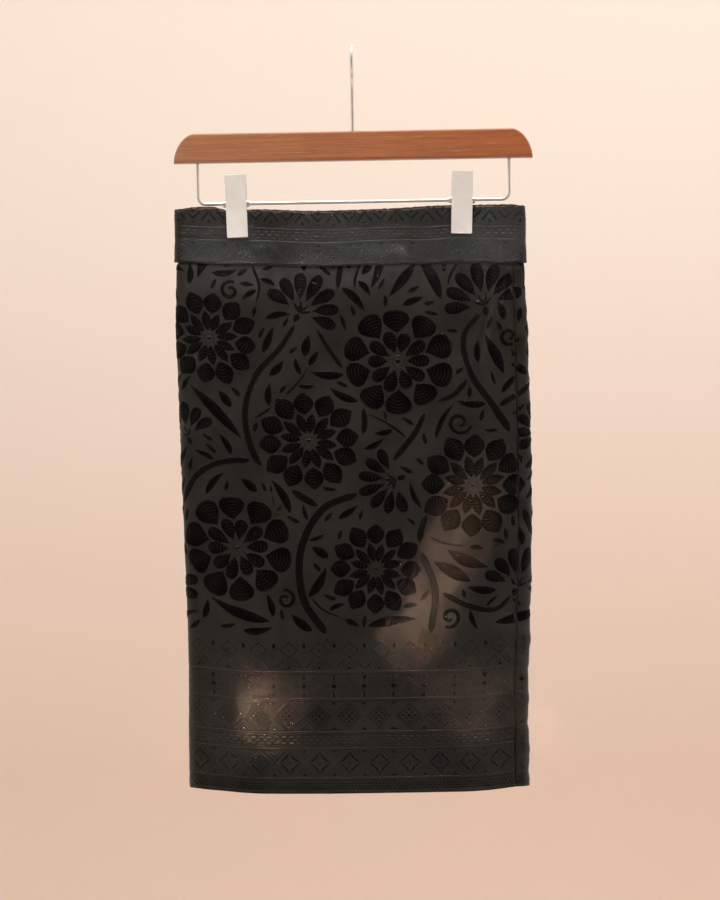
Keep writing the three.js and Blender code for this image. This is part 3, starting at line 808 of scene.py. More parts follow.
def skirt_face():
    """The skirt's outer face, with its creases."""
    first = SEAM - GIRTH
    stops = ((first, 2.2), (first + 24, 2.6), (-360, 4.2), (-14, 2.4), (14, 3.9), (222, 2.4))
    columns = stepped_columns((*stops, (SEAM - 20, 1.8)), SEAM)
    plain, gathered = 0.885, 0.115  # shares of the height; the gathers need closer rows
    heights = [k / 150 * plain for k in range(150)]
    heights += [plain + gathered * k / 28 for k in range(29)]
    face = ClothFace(
        "skirt_cloth", lambda x: top_edge(x) + CLOTH_TUCK, hem_edge, columns, heights, 0.0
    )
    drop = -face.points[:, :, 2]
    along = np.broadcast_to(face.columns, drop.shape)
    below = drop - band_edge(face.points[:, :, 0])
    relief = np.zeros_like(drop)
    for line in SKIRT_CREASES:
        relief += soft_line(along, drop, line)
        if line[0] > SEAM or line[2] > SEAM:  # past the seam the chart starts again
            relief += soft_line(along + GIRTH, drop, line) * (along < first + 60)
    from_seam = np.minimum(np.abs(along - SEAM), np.abs(along - SEAM + GIRTH))
    on_right = along < 0
    for middle, left, right, depth in SEAM_PUCKERS:
        reach = np.where(on_right, right, left)
        lean = np.where(on_right, 0.25, -0.2) * from_seam
        relief += depth * np.exp(-((from_seam / reach) ** 2) - ((drop - middle - lean) / 6.0) ** 2)
    # a slight unevenness all over, which fades out under the waistband
    drift = along * 0.35 + 0.6 * np.sin(drop * 0.05)
    relief += 0.12 * np.sin(drift) * np.sin(drop * 0.11 + along * 0.03)
    relief += 0.1 * np.sin(along * 0.13 + drop * 0.06) * np.sin(drop * 0.19 - along * 0.07)
    relief *= smooth_step(below, 0.0, 9.0)
    # the seam's groove, and the cloth drawn in at the waistband's edge
    relief -= bell(from_seam, 0.0, 1.2, 0.3) * smooth_step(below, 0.0, 6.0)
    relief -= bell(below, 0.5, 3.2, 1.7)
    # the turned hem's swell, its line of stitches and its wavering edge
    up = -face.points[0:1, :, 2] - drop
    relief += bell(up, 6.0, 5.0, 0.25) - bell(up, 13.0, 1.8, 0.2)
    relief += 0.35 * np.sin(along * 0.21) * np.exp(-up / 9.0) * np.sin(along * 0.047 + 1)
    face.push(relief)
    return face


def band_face():
    """The outer face of the waistband, up to its fold."""
    first = BAND_SEAM
    stops = ((first, 3.4), (-14, 1.8), (14, 3.4), (358, 1.8), (386, 3.4))
    columns = stepped_columns(stops, first + GIRTH)
    heights = [k / 26 for k in range(27)]
    face = ClothFace(
        "waistband", lambda x: top_edge(x) + BAND_TUCK, band_edge, columns, heights,
        BAND_OVER_CLOTH,
    )
    up = face.points[:, :, 2] - face.points[0:1, :, 2]
    along = np.broadcast_to(face.columns, up.shape)
    wrapped = (along + HALF_GIRTH) % GIRTH - HALF_GIRTH
    # fuller near both edges, drawn in between, and its lower edge stands out
    relief = bell(up, 7.0, 9.0, 0.55) + bell(up, 48.0, 9.0, 0.3)
    relief += bell(up, 0.0, 4.0, 0.7) - bell(up, 24.0, 3.0, 0.25)
    for line in BAND_CREASES:
        relief += soft_line(wrapped, up, line)
    relief += 0.1 * np.sin(along * 0.31) * np.sin(up * 0.2 + along * 0.05)
    clipped = np.zeros_like(up)
    for _, middle, _ in CLIP_PLACES:
        off = np.abs(face.points[:, :, 0] - middle)
        clipped = np.maximum(clipped, 1 - smooth_step(off, 13.0, 26.0))
    relief *= 1 - clipped * smooth_step(up, 14.0, 24.0)
    face.push(np.maximum(relief, -0.15))
    return face


FACES = {}


def face_of(name):
    """The lattice of one cloth, made the first time that it is asked for."""
    if name not in FACES:
        FACES[name] = {"skirt": skirt_face, "band": band_face}[name]()
    return FACES[name]


def lattice_mesh(name, points, closed):
    """A grid of quads laid on a lattice of points."""
    rows, columns = points.shape[:2]
    work = bmesh.new()
    bmesh.ops.create_grid(work, x_segments=columns - 1, y_segments=rows - 1, size=0.5)
    work.verts.ensure_lookup_table()
    flat = points.reshape(-1, 3)
    for vert in work.verts:
        vert.co = flat[vert.index]
    if closed:
        bmesh.ops.remove_doubles(work, verts=work.verts, dist=0.01)
    mesh = mesh_from(work, name)
    mesh.shade_smooth()
    return mesh


def thicken(obj, thickness, offset=-1.0):
    """Gives a sheet its thickness, away from its outer face."""
    wall = obj.modifiers.new("cloth thickness", "SOLIDIFY")
    wall.thickness = thickness * MM
    wall.offset = offset
    wall.use_even_offset = False
    return wall


# ---- The woven figure ---------------------------------------------------------------------
# A strip is a route with a half width at each of its stations, in (along, up) millimetres.
# Every leaf, petal, stem, bar and line of the figure is a strip, raised on the ground.

REPEAT = HALF_GIRTH  # the flowers repeat after half the girth
FIELD_FOOT = 163.0
FIELD_TOP = 562.0
FLOWER_GAP = 1.9  # ground left between neighbours
FLOWER_LIMIT = 557.0  # the waistband hides the cloth above this
GRAIN = 1.0  # size of a cell of the plan that keeps neighbours apart
PLAN_STEP = 0.8  # distance between the places at which a strip is tried in the plan
SHORTEST_STEM = 16.0  # a shorter run of a stem between two flowers is left out
STEM_TAPER = 7.0  # the length over which a stem thins where it passes behind


class Strip:
    """One raised shape: a centre route, half widths and a kind of rib."""

    def __init__(self, route, widths, rib="bars"):
        self.route = np.asarray(route, float)
        self.widths = np.asarray(widths, float)
        self.rib = rib

    def moved(self, along, up=0.0):
        return Strip(self.route + (along, up), self.widths, self.rib)

    def sides(self):
        """Unit vectors to the left of the route at each station."""
        step = np.gradient(self.route, axis=0)
        step /= np.linalg.norm(step, axis=1, keepdims=True) + 1e-9
        return np.stack([-step[:, 1], step[:, 0]], axis=1)

    def lengths(self):
        steps = np.linalg.norm(np.diff(self.route, axis=0), axis=1)
        return np.concatenate([[0.0], np.cumsum(steps)])


def even(route, widths, step, rib):
    """The strip again, with its stations an even step apart."""
    rough = Strip(route, widths)
    run = rough.lengths()
    count = max(2, int(math.ceil(run[-1] / step)))
    at = np.linspace(0.0, run[-1], count + 1)
    places = np.stack([np.interp(at, run, rough.route[:, k]) for k in (0, 1)], axis=1)
    return Strip(places, np.interp(at, run, rough.widths), rib)


def bent_route(x, y, heading, length, bend, count=36):
    """A route that starts at a place and bends evenly; its chord points along the heading."""
    share = (np.arange(count) + 0.5) / count
    turn = np.radians(heading + bend * (share - 0.5))
    step = length / count
    xs = np.concatenate([[x], x + np.cumsum(np.cos(turn)) * step])
    ys = np.concatenate([[y], y + np.cumsum(np.sin(turn)) * step])
    return np.stack([xs, ys], axis=1)


def through(points, count=14):
    """A smooth route through given points."""
    points = np.asarray(points, float)
    padded = np.concatenate([[2 * points[0] - points[1]], points, [2 * points[-1] - points[-2]]])
    found = []
    for a, b, c, d in zip(padded, padded[1:], padded[2:], padded[3:]):
        t = (np.arange(count) / count)[:, None]
        square, cube = 2 * a - 5 * b + 4 * c - d, 3 * b - a - 3 * c + d
        found.append(0.5 * (2 * b + (c - a) * t + square * t**2 + cube * t**3))
    return np.concatenate(found + [points[-1:]])


def leaf(x, y, heading, length, width, bend=0.0, belly=0.42, rib="vee"):
    """A leaf that starts at a place; belly is the share of its length where it is widest."""
    route = bent_route(x, y, heading, length, bend)
    s = np.linspace(0.0, 1.0, len(route))
    power = math.log(0.5) / math.log(belly)
    shape = np.sin(np.pi * s**power) ** 0.9
    return Strip(route, np.maximum(width / 2 * shape, 0.25), rib)


def petal(x, y, heading, length, width, bend=0.0, widest=0.62, pointed=False):
    """A petal with ribs in arcs, rounded at its tip or pointed at both ends."""
    route = bent_route(x, y, heading, length, bend)
    s = np.linspace(0.0, 1.0, len(route))
    opening = np.sin(np.clip(s / widest, 0, 1) * np.pi / 2) ** 1.15
    closing = np.sqrt(np.clip(1 - ((s - widest) / (1 - widest)).clip(0) ** 2.4, 0, 1))
    shape = opening * closing
    if pointed:
        shape = np.sin(np.pi * s ** (math.log(0.5) / math.log(widest))) ** 0.8
    return Strip(route, np.maximum(width / 2 * shape, 0.3), "arcs")


def stem(points, width, tip=0.35):
    """A stem that thins to a share of its width at its tip."""
    route = through(points)
    s = np.linspace(0.0, 1.0, len(route))
    shape = 1 - (1 - tip) * s**2
    return Strip(route, width / 2 * shape, "long")


def curl(x, y, size, start, turns, width):
    """A tendril that winds in to a place."""
    t = np.linspace(0.0, 1.0, 60)
    angle = np.radians(start) + 2 * np.pi * turns * t
    radius = size * (1 - 0.74 * t)
    route = np.stack([x + radius * np.cos(angle), y + radius * np.sin(angle)], axis=1)
    return Strip(route, width / 2 * (0.55 + 0.45 * np.sin(np.pi * (0.15 + 0.85 * t))), "long")


def dot(x, y, size):
    return Strip([(x - size, y), (x, y), (x + size, y)], [size * 0.35, size, size * 0.35], "plain")


def ring_of(x, y, radius, width, count=20):
    turns = np.linspace(0.0, 2 * np.pi, count + 1)
    route = np.stack([x + radius * np.cos(turns), y + radius * np.sin(turns)], axis=1)
    return Strip(route, np.full(count + 1, width / 2), "plain")


def rosette(x, y, size, petals, turn=0.0, pointed=False):
    """An open flower: a dotted heart and two rings of petals."""
    strips = [dot(x, y, size * 0.045), ring_of(x, y, size * 0.1, 1.5)]
    for k in range(petals):
        for ring, start, end, wide_at in ((0, 0.16, 0.58, 0.44), (1, 0.53, 1.0, 0.82)):
            heading = turn + 360.0 * (k + 0.5 * ring) / petals
            reach = end + 0.035 * math.sin(2.1 * k + ring)
            a = math.radians(heading)
            width = 2 * math.pi * size * wide_at / petals - 1.7
            strips.append(
                petal(
                    x + size * start * math.cos(a), y + size * start * math.sin(a), heading,
                    size * (reach - start), width, bend=(8 if k % 2 else -8),
                    widest=0.5 if pointed else 0.62, pointed=pointed,
                )
            )
    return strips


def fan_flower(x, y, heading, size, petals=7, spread=170.0):
    """A flower seen from its side: a cup, and petals that fan out of it."""
    strips = []
    for k in range(petals):
        off = spread * (k / (petals - 1) - 0.5)
        a = math.radians(heading + off)
        start = size * 0.3
        reach = size * (0.72 - 0.12 * abs(math.sin(math.radians(off))))
        width = math.radians(spread / (petals - 1)) * size * 0.68 - 1.6
        strips.append(
            petal(x + start * math.cos(a), y + start * math.sin(a), heading + off, reach, width,
                  bend=off * 0.25)
        )
    for off, length in ((-58, 0.26), (-20, 0.28), (20, 0.28), (58, 0.26)):
        strips.append(leaf(x, y, heading + off, size * length, size * 0.12, rib="plain"))
    back = math.radians(heading + 180)
    foot_x, foot_y = x + 2 * math.cos(back), y + 2 * math.sin(back)
    strips.append(leaf(foot_x, foot_y, heading + 180, size * 0.22, size * 0.16, rib="bars"))
    return strips


BUD_LEAVES = ((0.09, 24, 0.86, 0.24, -46), (0.14, 62, 0.5, 0.17, 30))  # on each side of a bud


def bud(x, y, heading, size):
    """A closed bud between two pairs of small leaves."""
    strips = [leaf(x, y, heading, size, size * 0.3, rib="arcs")]
    for side in (-1, 1):
        a = math.radians(heading + side * 90)
        for out, turn, length, width, bend in BUD_LEAVES:
            strips.append(
                leaf(x + size * out * math.cos(a), y + size * out * math.sin(a),
                     heading + side * turn, size * length, size * width, bend=side * bend)
            )
    return strips


def sprig(points, width, leaf_length, leaf_width, spacing):
    """A stem with leaves set in turn on both sides, and one at its end."""
    swing = 48.0
    main = stem(points, width)
    run = main.lengths()
    strips = [main]
    sides = main.sides()
    at = spacing * 0.8
    side = 1
    while at < run[-1] - spacing * 0.4:
        k = int(np.searchsorted(run, at))
        heading = math.degrees(math.atan2(-sides[k][0], sides[k][1]))
        off = sides[k] * side * (main.widths[k] + FLOWER_GAP * 0.7)
        place = main.route[k] + off
        fade = 1.0 - 0.35 * at / run[-1]
        strips.append(
            leaf(place[0], place[1], heading + side * swing, leaf_length * fade, leaf_width * fade,
                 bend=-side * 34)
        )
        side = -side
        at += spacing / 2
    turn = math.atan2(-sides[-1][0], sides[-1][1])
    end = main.route[-1] + 2 * np.array([math.cos(turn), math.sin(turn)])
    strips.append(leaf(*end, math.degrees(turn), leaf_length * 0.7, leaf_width * 0.8))
    return strips


def true_runs(flags):
    """The first place and the end of each unbroken run of true flags."""
    changes = np.flatnonzero(np.diff(np.concatenate([[0], flags.astype(int), [0]])))
    return zip(changes[::2], changes[1::2])


class FieldPlan:
    """Keeps the strips of one repeat of the flowers apart from each other."""

    def __init__(self):
        self.wide = int(REPEAT / GRAIN)
        self.tall = int((FIELD_TOP - FIELD_FOOT) / GRAIN)
        self.taken = np.zeros((self.tall, self.wide), bool)
        self.strips = []

    def _cells(self, places):
        column = np.floor(places[:, 0] / GRAIN).astype(int) % self.wide
        row = np.floor((places[:, 1] - FIELD_FOOT) / GRAIN).astype(int)
        return np.clip(row, 0, self.tall - 1), column

    def _cover(self, strip, extra):
        fine = even(strip.route, strip.widths, PLAN_STEP, strip.rib)
        sides = fine.sides()
        reach = fine.widths + extra
        places = []
        for share in np.linspace(-1.0, 1.0, max(3, int(reach.max() * 2 / PLAN_STEP) | 1)):
            places.append(fine.route + sides * (share * reach)[:, None])
        return np.concatenate(places), fine

    def free(self, strip, gap=FLOWER_GAP):
        places, _ = self._cover(strip, gap)
        if strip.route[:, 1].min() - strip.widths.max() < FIELD_FOOT + 1:
            return False
        return not self.taken[self._cells(places)].any()

    def mark(self, strips):
        for strip in strips:
            self.taken[self._cells(self._cover(strip, 0.0)[0])] = True
        self.strips.extend(strips)

    def set_flower(self, strips):
        """Places a flower: only what meets an earlier shape is left out."""
        self.mark([s for s in strips if self.free(s)])

    def set_stem(self, strip):
        """Places a stem in the runs that are free, as if it passed behind the flowers."""
        places, fine = self._cover(strip, FLOWER_GAP)
        blocked = self.taken[self._cells(places)].reshape(-1, len(fine.route)).any(axis=0)
        blocked |= fine.route[:, 1] - fine.widths < FIELD_FOOT + 1
        found = []
        for first, last in true_runs(~blocked):
            if (last - first) * PLAN_STEP >= SHORTEST_STEM:
                run = np.arange(last - first) * PLAN_STEP
                to_end = np.minimum(run, run[-1] - run)
                taper = np.clip(to_end / STEM_TAPER, 0.02, 1.0) ** 0.6
                widths = fine.widths[first:last] * taper
                found.append(Strip(fine.route[first:last], widths, fine.rib))
        self.mark(found)

    def set_leaf(self, blade):
        """Places a leaf at the largest of a few sizes that is free."""
        root = blade.route[0]
        for share in (1.0, 0.84, 0.7, 0.56, 0.44):
            smaller = Strip(root + (blade.route - root) * share, blade.widths * share, blade.rib)
            if self.free(smaller, FLOWER_GAP * 0.8):
                self.mark([smaller])
                return

    def set_sprig(self, strips):
        self.set_stem(strips[0])
        for blade in strips[1:]:
            self.set_leaf(blade)

    def fill(self, maker, tries, draws):
        """Sets small whole motifs in the ground that is still free."""
        for _ in range(tries):
            x = draws.uniform(0, REPEAT)
            y = draws.uniform(FIELD_FOOT + 4, FIELD_TOP - 2)
            cell = self._cells(np.array([[x, y]]))
            if self.taken[cell].any():
                continue
            strips = maker(x, y, draws)
            if all(self.free(s) for s in strips):
                self.mark(strips)


FLOWERS = (
    # (along, up, size, petals, turn, whether the petals are pointed)
    (40, 478, 50, 12, 8, True),
    (232, 455, 56, 10, 0, False),
    (138, 372, 53, 12, 20, True),
    (306, 322, 56, 12, 12, True),
    (60, 258, 56, 10, 5, False),
    (204, 236, 49, 12, 14, True),
)
FANS = (
    # (along, up, heading, size)
    (133, 508, 60, 44),
    (322, 512, 100, 46),
    (352, 212, 70, 42),
    (226, 330, 200, 40),
    (12, 372, 120, 38),
)
VINES = (
    # each is a row of places and a width
    (((152, 168), (128, 206), (126, 256), (150, 300), (196, 322), (242, 372), (258, 400)), 8.5),
    (((150, 300), (116, 322), (84, 352), (74, 398), (86, 440), (112, 470), (131, 500)), 7.5),
    (((262, 168), (266, 214), (250, 262), (262, 300), (290, 322)), 8.0),
    (((372, 262), (356, 300), (352, 356), (330, 402), (306, 440), (300, 480), (320, 506)), 8.0),
    (((330, 402), (362, 420), (392, 446)), 7.0),
    (((84, 352), (48, 348), (20, 330), (4, 300)), 7.0),
    (((306, 440), (290, 420), (268, 410)), 6.0),
    (((266, 214), (300, 196), (330, 190), (350, 206)), 6.5),
    (((176, 560), (172, 520), (180, 488)), 6.5),
    (((196, 322), (188, 350), (196, 392), (188, 430), (166, 462), (150, 490)), 6.5),
)
BLADES = (
    # (along, up, heading, length, width, bend): long leaves
    (268, 372, 62, 96, 13, -34),
    (278, 520, 118, 60, 12, 30),
    (92, 420, 150, 66, 13, 40),
    (176, 430, 78, 110, 13, 30),
    (10, 420, 60, 44, 11, -30),
    (116, 296, 118, 58, 13, 34),
    (252, 300, 112, 70, 13, -36),
    (152, 208, 62, 62, 13, -40),
    (120, 210, 130, 60, 12, 40),
    (286, 250, 40, 66, 13, 30),
    (262, 184, 138, 60, 12, -30),
    (352, 300, 138, 56, 12, -30),
    (346, 366, 60, 60, 13, 34),
    (92, 182, 160, 66, 12, -24),
    (330, 176, 12, 60, 11, 20),
    (196, 176, 8, 52, 11, -18),
)
SPRIGS = (
    # a row of places, stem width, leaf length, leaf width, spacing
    (((196, 560), (190, 536), (198, 516)), 3.4, 24, 8, 24),
    (((300, 566), (286, 538), (290, 512)), 3.4, 22, 8, 22),
    (((84, 560), (92, 536), (88, 516)), 3.4, 24, 8, 22),
    (((352, 566), (366, 540), (360, 508)), 3.4, 24, 8, 22),
    (((340, 404), (366, 386), (376, 356)), 3.4, 24, 8, 22),
    (((84, 396), (104, 410), (128, 432), (140, 450)), 3.4, 26, 8.5, 24),
    (((240, 372), (222, 388), (196, 402)), 3.2, 22, 8, 22),
    (((126, 256), (104, 282), (98, 316)), 3.4, 24, 8.5, 22),
    (((258, 270), (276, 262), (300, 258)), 3.2, 22, 8, 22),
    (((128, 220), (146, 196), (170, 184)), 3.2, 24, 8, 22),
)


def flow(x, y):
    """The way that loose leaves point, so that neighbours sweep together."""
    return 92 + 58 * math.sin(4 * math.pi * x / REPEAT + y / 62) + 24 * math.sin(y / 31)


def loose_leaf(x, y, draws, swing, lengths, widths, bend, **finish):
    heading = flow(x, y) + draws.uniform(-swing, swing)
    length, width = draws.uniform(*lengths), draws.uniform(*widths)
    return leaf(x, y, heading, length, width, bend=draws.uniform(-bend, bend), **finish)


def long_leaf(x, y, draws):
    heading = flow(x, y) + draws.uniform(-16, 16)
    length, width = draws.uniform(44, 86), draws.uniform(10, 14)
    bend, belly = draws.uniform(-55, 55), draws.uniform(0.36, 0.55)
    return [leaf(x, y, heading, length, width, bend=bend, belly=belly)]


def small_leaf(x, y, draws):
    return [loose_leaf(x, y, draws, 28, (20, 38), (7, 10), 45)]


def small_bud(x, y, draws):
    return bud(x, y, draws.uniform(0, 360), draws.uniform(26, 34))


def small_curl(x, y, draws):
    size, start = draws.uniform(9, 13), draws.uniform(0, 360)
    return [curl(x, y, size, start, draws.choice((-1.2, 1.2)), 4.6)]


def tiny_leaf(x, y, draws):
    return [loose_leaf(x, y, draws, 40, (10, 17), (4.4, 5.6), 30, rib="bars")]


LOOSE_MOTIFS = (
    (long_leaf, 1500), (small_bud, 500), (small_curl, 300), (small_leaf, 3000), (tiny_leaf, 1500),
)


def flower_repeat():
    """One repeat of the scrolling flowers, set so that nothing overlaps."""
    plan = FieldPlan()
    for flower in FLOWERS:
        plan.set_flower(rosette(*flower))
    for fan in FANS:
        plan.set_flower(fan_flower(*fan))
    for places, width in VINES:
        plan.set_stem(stem(places, width, tip=0.6))
    for blade in BLADES:
        plan.set_leaf(leaf(*blade[:5], bend=blade[5]))
    for places, width in VINES:
        for blade in sprig(places, width, 46, 12.5, 33)[1:]:
            plan.set_leaf(blade)
    for places, width, length, across, spacing in SPRIGS:
        plan.set_sprig(sprig(places, width, length, across, spacing))
    draws = random.Random(41)
    for maker, tries in LOOSE_MOTIFS:
        plan.fill(maker, tries, draws)
    return plan.strips


# ---- The geometric borders ----------------------------------------------------------------

UNIT = 32.0  # one repeat of every border


def bar(x1, y1, x2, y2, width):
    return Strip([(x1, y1), (x2, y2)], [width / 2, width / 2], "plain")


def vee(x, y, half, rise, width):
    """Two arms that meet at a point; with a negative rise they hang from it."""
    return Strip([(x - half, y + rise), (x, y), (x + half, y + rise)], [width / 2] * 3, "plain")


def lozenge(x, y, half, rise, width):
    """The outline of a diamond, in two halves."""
    return [vee(x, y + rise, half, -rise, width), vee(x, y - rise, half, rise, width)]


def gem(x, y, half, rise=None):
    """A small solid diamond."""
    return Strip([(x - half, y), (x, y), (x + half, y)], [0.15, rise or half, 0.15], "plain")


def wedge(x, foot, top, half):
    """A solid triangle whose point is at the top."""
    return Strip([(x, foot), (x, top)], [half, 0.15], "plain")


def mirrored(strips, level):
    """The strips again, upside down about a level."""
    return [Strip(s.route * (1, -1) + (0, 2 * level), s.widths, s.rib) for s in strips]


def crested_row():
    """Diamonds on crossed feet, with a small plant between."""
    strips = lozenge(0, 151, 9.0, 8.0, 1.9) + lozenge(0, 151, 5.0, 4.5, 1.1) + [gem(0, 151, 1.1)]
    for hand in (-1, 1):
        strips.append(bar(hand * 0.9, 141.8, hand * 9.8, 131.6, 1.7))
        strips.append(bar(hand * 5.2, 142.0, hand * 13.6, 132.4, 0.9))
    strips += [vee(0, 138.0, 5.2, -6.0, 1.0), wedge(0, 131.2, 134.4, 2.4)]
    strips += [gem(16, 155.6, 1.8, 3.4), vee(16, 148.6, 2.8, 2.4, 1.3)]
    strips += [vee(16, 144.2, 3.4, 3.0, 1.4), vee(16, 139.8, 5.8, 5.2, 1.4)]
    return strips + [vee(16, 135.8, 7.6, 6.9, 1.4), vee(16, 132.0, 7.8, 7.0, 1.3)]


def crossed_row():
    """Double-barred crosses with nested points, and small diamonds between."""
    strips = []
    near, far = 2.0, 8.6
    for hand in (-1, 1):
        for rise in (-1, 1):
            for off in (-0.945, 0.945):
                strips.append(
                    bar(hand * (near + off), 113 + rise * (near - off),
                        hand * (far + off), 113 + rise * (far - off), 1.5)
                )
    above = [vee(0, 117.2, 3.0, 3.0, 1.4), vee(0, 120.6, 2.4, 2.4, 1.4)]
    above += [wedge(16, 124.2, 119.4, 3.8), gem(16, 117.4, 0.9)]
    strips += above + mirrored(above, 113)
    for hand in (-1, 1):
        for reach in (5.4, 8.6):
            tail = hand * (reach + 2.8)
            route = [(tail, 115.8), (hand * reach, 113), (tail, 110.2)]
            strips.append(Strip(route, [0.7] * 3, "plain"))
    strips.append(gem(16, 113, 2.9))
    return strips


def dotted_flower(level, across, rise, dot_size, heart):
    """Nine small diamonds set as a larger one."""
    return [
        gem((k + m) * across, level + (k - m) * rise, dot_size if k or m else heart)
        for k in (-1, 0, 1)
        for m in (-1, 0, 1)
    ]


def lattice_row():
    """Large double diamonds, each with a dotted flower, and nested points between."""
    strips = lozenge(0, 81.6, 14.4, 13.4, 1.6) + lozenge(0, 81.6, 11.5, 10.7, 0.9)
    strips += dotted_flower(81.6, 3.2, 3.1, 1.5, 1.9)
    above = [vee(16, 86.6, 9.4, 8.8, 1.3), vee(16, 90.4, 5.6, 5.2, 1.2)]
    above.append(wedge(16, 96.0, 93.4, 2.6))
    return strips + above + mirrored(above, 81.6)


def starred_row():
    """Double diamonds, each with a four-pointed star left bare, and nested points between."""
    strips = lozenge(0, 32.0, 13.4, 13.0, 1.3) + lozenge(0, 32.0, 10.9, 10.6, 0.9)
    for hand in (-1, 1):
        for rise in (-1, 1):
            blade = ((1.6, 8.0), (4.6, 4.8), (8.0, 1.6))
            route = [(hand * x, 32 + rise * y) for x, y in blade]
            strips.append(Strip(route, [0.4, 1.9, 0.4], "plain"))
    strips.append(gem(0, 32, 1.2))
    above = [vee(16, 36.2, 8.6, 8.4, 1.5), vee(16, 40.2, 4.2, 4.2, 1.3)]
    above.append(wedge(16, 45.4, 43.2, 2.2))
    return strips + above + mirrored(above, 32)


def staggered(levels, spacing, maker):
    """Rows of one small shape, every second row half a step over."""
    strips = []
    for k, level in enumerate(levels):
        for n in range(round(UNIT / spacing)):
            strips.append(maker((n + 0.5 * (k % 2)) * spacing, level))
    return strips


def dash_rows(levels, length=4.4, width=1.5, spacing=8.0):
    return staggered(levels, spacing, lambda x, y: bar(x, y, x + length, y, width))


def check_rows(levels, size, spacing=4.0):
    return staggered(levels, spacing, lambda x, y: gem(x, y, size))


def hem_unit():
    """One repeat of the hem's border."""
    rows = crested_row() + crossed_row() + lattice_row() + starred_row()
    return rows + dash_rows((59.6, 56.4, 53.2)) + check_rows((10.4, 7.8, 5.2), 1.25)


HEM_LINES = (
    (128.4, 1.3), (126.0, 0.9), (99.8, 1.2), (97.6, 0.9), (65.0, 1.3), (62.6, 0.9),
    (50.2, 0.9), (47.9, 1.3), (16.6, 1.2), (14.3, 0.9),
)
WAIST_LINES = ((24.8, 1.2), (38.2, 1.3), (40.5, 0.9), (60.5, 1.0))


def waist_unit():
    """One repeat of the waistband's border."""
    strips = check_rows((1.9,), 1.0)
    strips += [vee(0, 22.4, 14.6, -17.6, 1.1), vee(0, 19.2, 11.6, -14.0, 1.0)]
    strips += dotted_flower(9.0, 2.7, 2.7, 1.2, 1.6)
    strips += [vee(16, 6.6, 10.6, 12.8, 1.0), vee(16, 10.8, 7.4, 9.0, 1.0)]
    strips += [vee(16, 15.0, 4.4, 5.4, 1.0), wedge(16, 22.6, 19.4, 2.6)]
    strips += dash_rows((34.6, 31.2, 27.8))
    strips += [vee(0, 55.4, 7.6, -10.2, 3.0), wedge(0, 43.4, 46.8, 2.8)]
    strips += [vee(0, 59.2, 13.6, -15.4, 0.8)]
    strips += [vee(16, 47.4, 7.2, 7.6, 2.8), wedge(16, 58.0, 53.4, 3.2)]
    return strips + [wedge(16, 42.6, 44.6, 3.0)]


STITCH = 2.6
STITCH_GAP = 0.9
THREAD = 0.55  # width of a stitch
HEM_STITCH_LINE = 12.6  # up
BAND_STITCH_LINE = 3.0  # up
SEAM_STITCH_LINE = 2.2  # from the seam, on both sides
SEAM_TOP = 552.0  # up, under the waistband's edge
SHADE_LINE_STEP = 7.0  # distance between the wavers of a painted shade line


def painted_shade_line(start, stop, level, width, seed):
    """A dark line of painted shade along an edge: a long strip that wavers in place and in width.
    """
    draws = random.Random(seed)
    count = int((stop - start) / SHADE_LINE_STEP)
    route = [
        (start + 1 + (stop - start - 2) * k / count, level + draws.uniform(-0.22, 0.22))
        for k in range(count + 1)
    ]
    widths = [width / 2 * draws.uniform(0.75, 1.25) for _ in route]
    return Strip(route, widths, "plain")


def stitches(points, width, seed):
    """A run of slightly uneven machine stitches along a line of places."""
    draws = random.Random(seed)
    line = Strip(points, np.full(len(points), width / 2))
    run = line.lengths()
    strips = []
    at = STITCH_GAP
    while at + 1.2 * STITCH < run[-1]:
        own = STITCH * draws.uniform(0.86, 1.12)
        spots = at + own * np.array([0.0, 0.25, 0.75, 1.0])
        route = np.stack([np.interp(spots, run, line.route[:, k]) for k in (0, 1)], axis=1)
        route += (draws.uniform(-0.1, 0.1), draws.uniform(-0.1, 0.1))
        strips.append(Strip(route, width / 2 * np.array([0.5, 1.0, 1.0, 0.5]), "plain"))
        at += own + STITCH_GAP
    return strips


def fibres(face, start, stop, seed):
    """Short loose fibres along the top of a woven edge, thicker in places."""
    draws = random.Random(seed)
    strips = []
    at = start + 2
    while at < stop - 6:
        tall = float(face.height_of(at))
        length = draws.uniform(1.2, 5.5)
        lean = math.radians(draws.uniform(-16, 16))
        foot = tall - draws.uniform(0.3, 1.5)
        over, rise = length * math.cos(lean), length * math.sin(lean)
        route = [(at + t * over, foot + t * rise) for t in (0, 0.5, 1)]
        strips.append(Strip(route, np.array([0.12, draws.uniform(0.25, 0.55), 0.12]), "plain"))
        at += draws.uniform(0.8, 4.4) + (9.0 * draws.random() if draws.random() < 0.12 else 0.0)
    return strips


def border(unit, lines, start, stop):
    """A border from one seam to the other, cut where it ends."""
    strips = [bar(start + 0.9, level, stop - 0.9, level, width) for level, width in lines]
    for k in range(int((stop - start) / UNIT) + 1):
        for strip in unit:
            moved = strip.moved(stop - (k + 0.5) * UNIT)
            low, high = moved.route[:, 0].min(), moved.route[:, 0].max()
            if low - moved.widths.max() > start + 0.6 and high + moved.widths.max() < stop - 0.6:
                strips.append(moved)
    return strips


# ---- Strips made into raised meshes -------------------------------------------------------

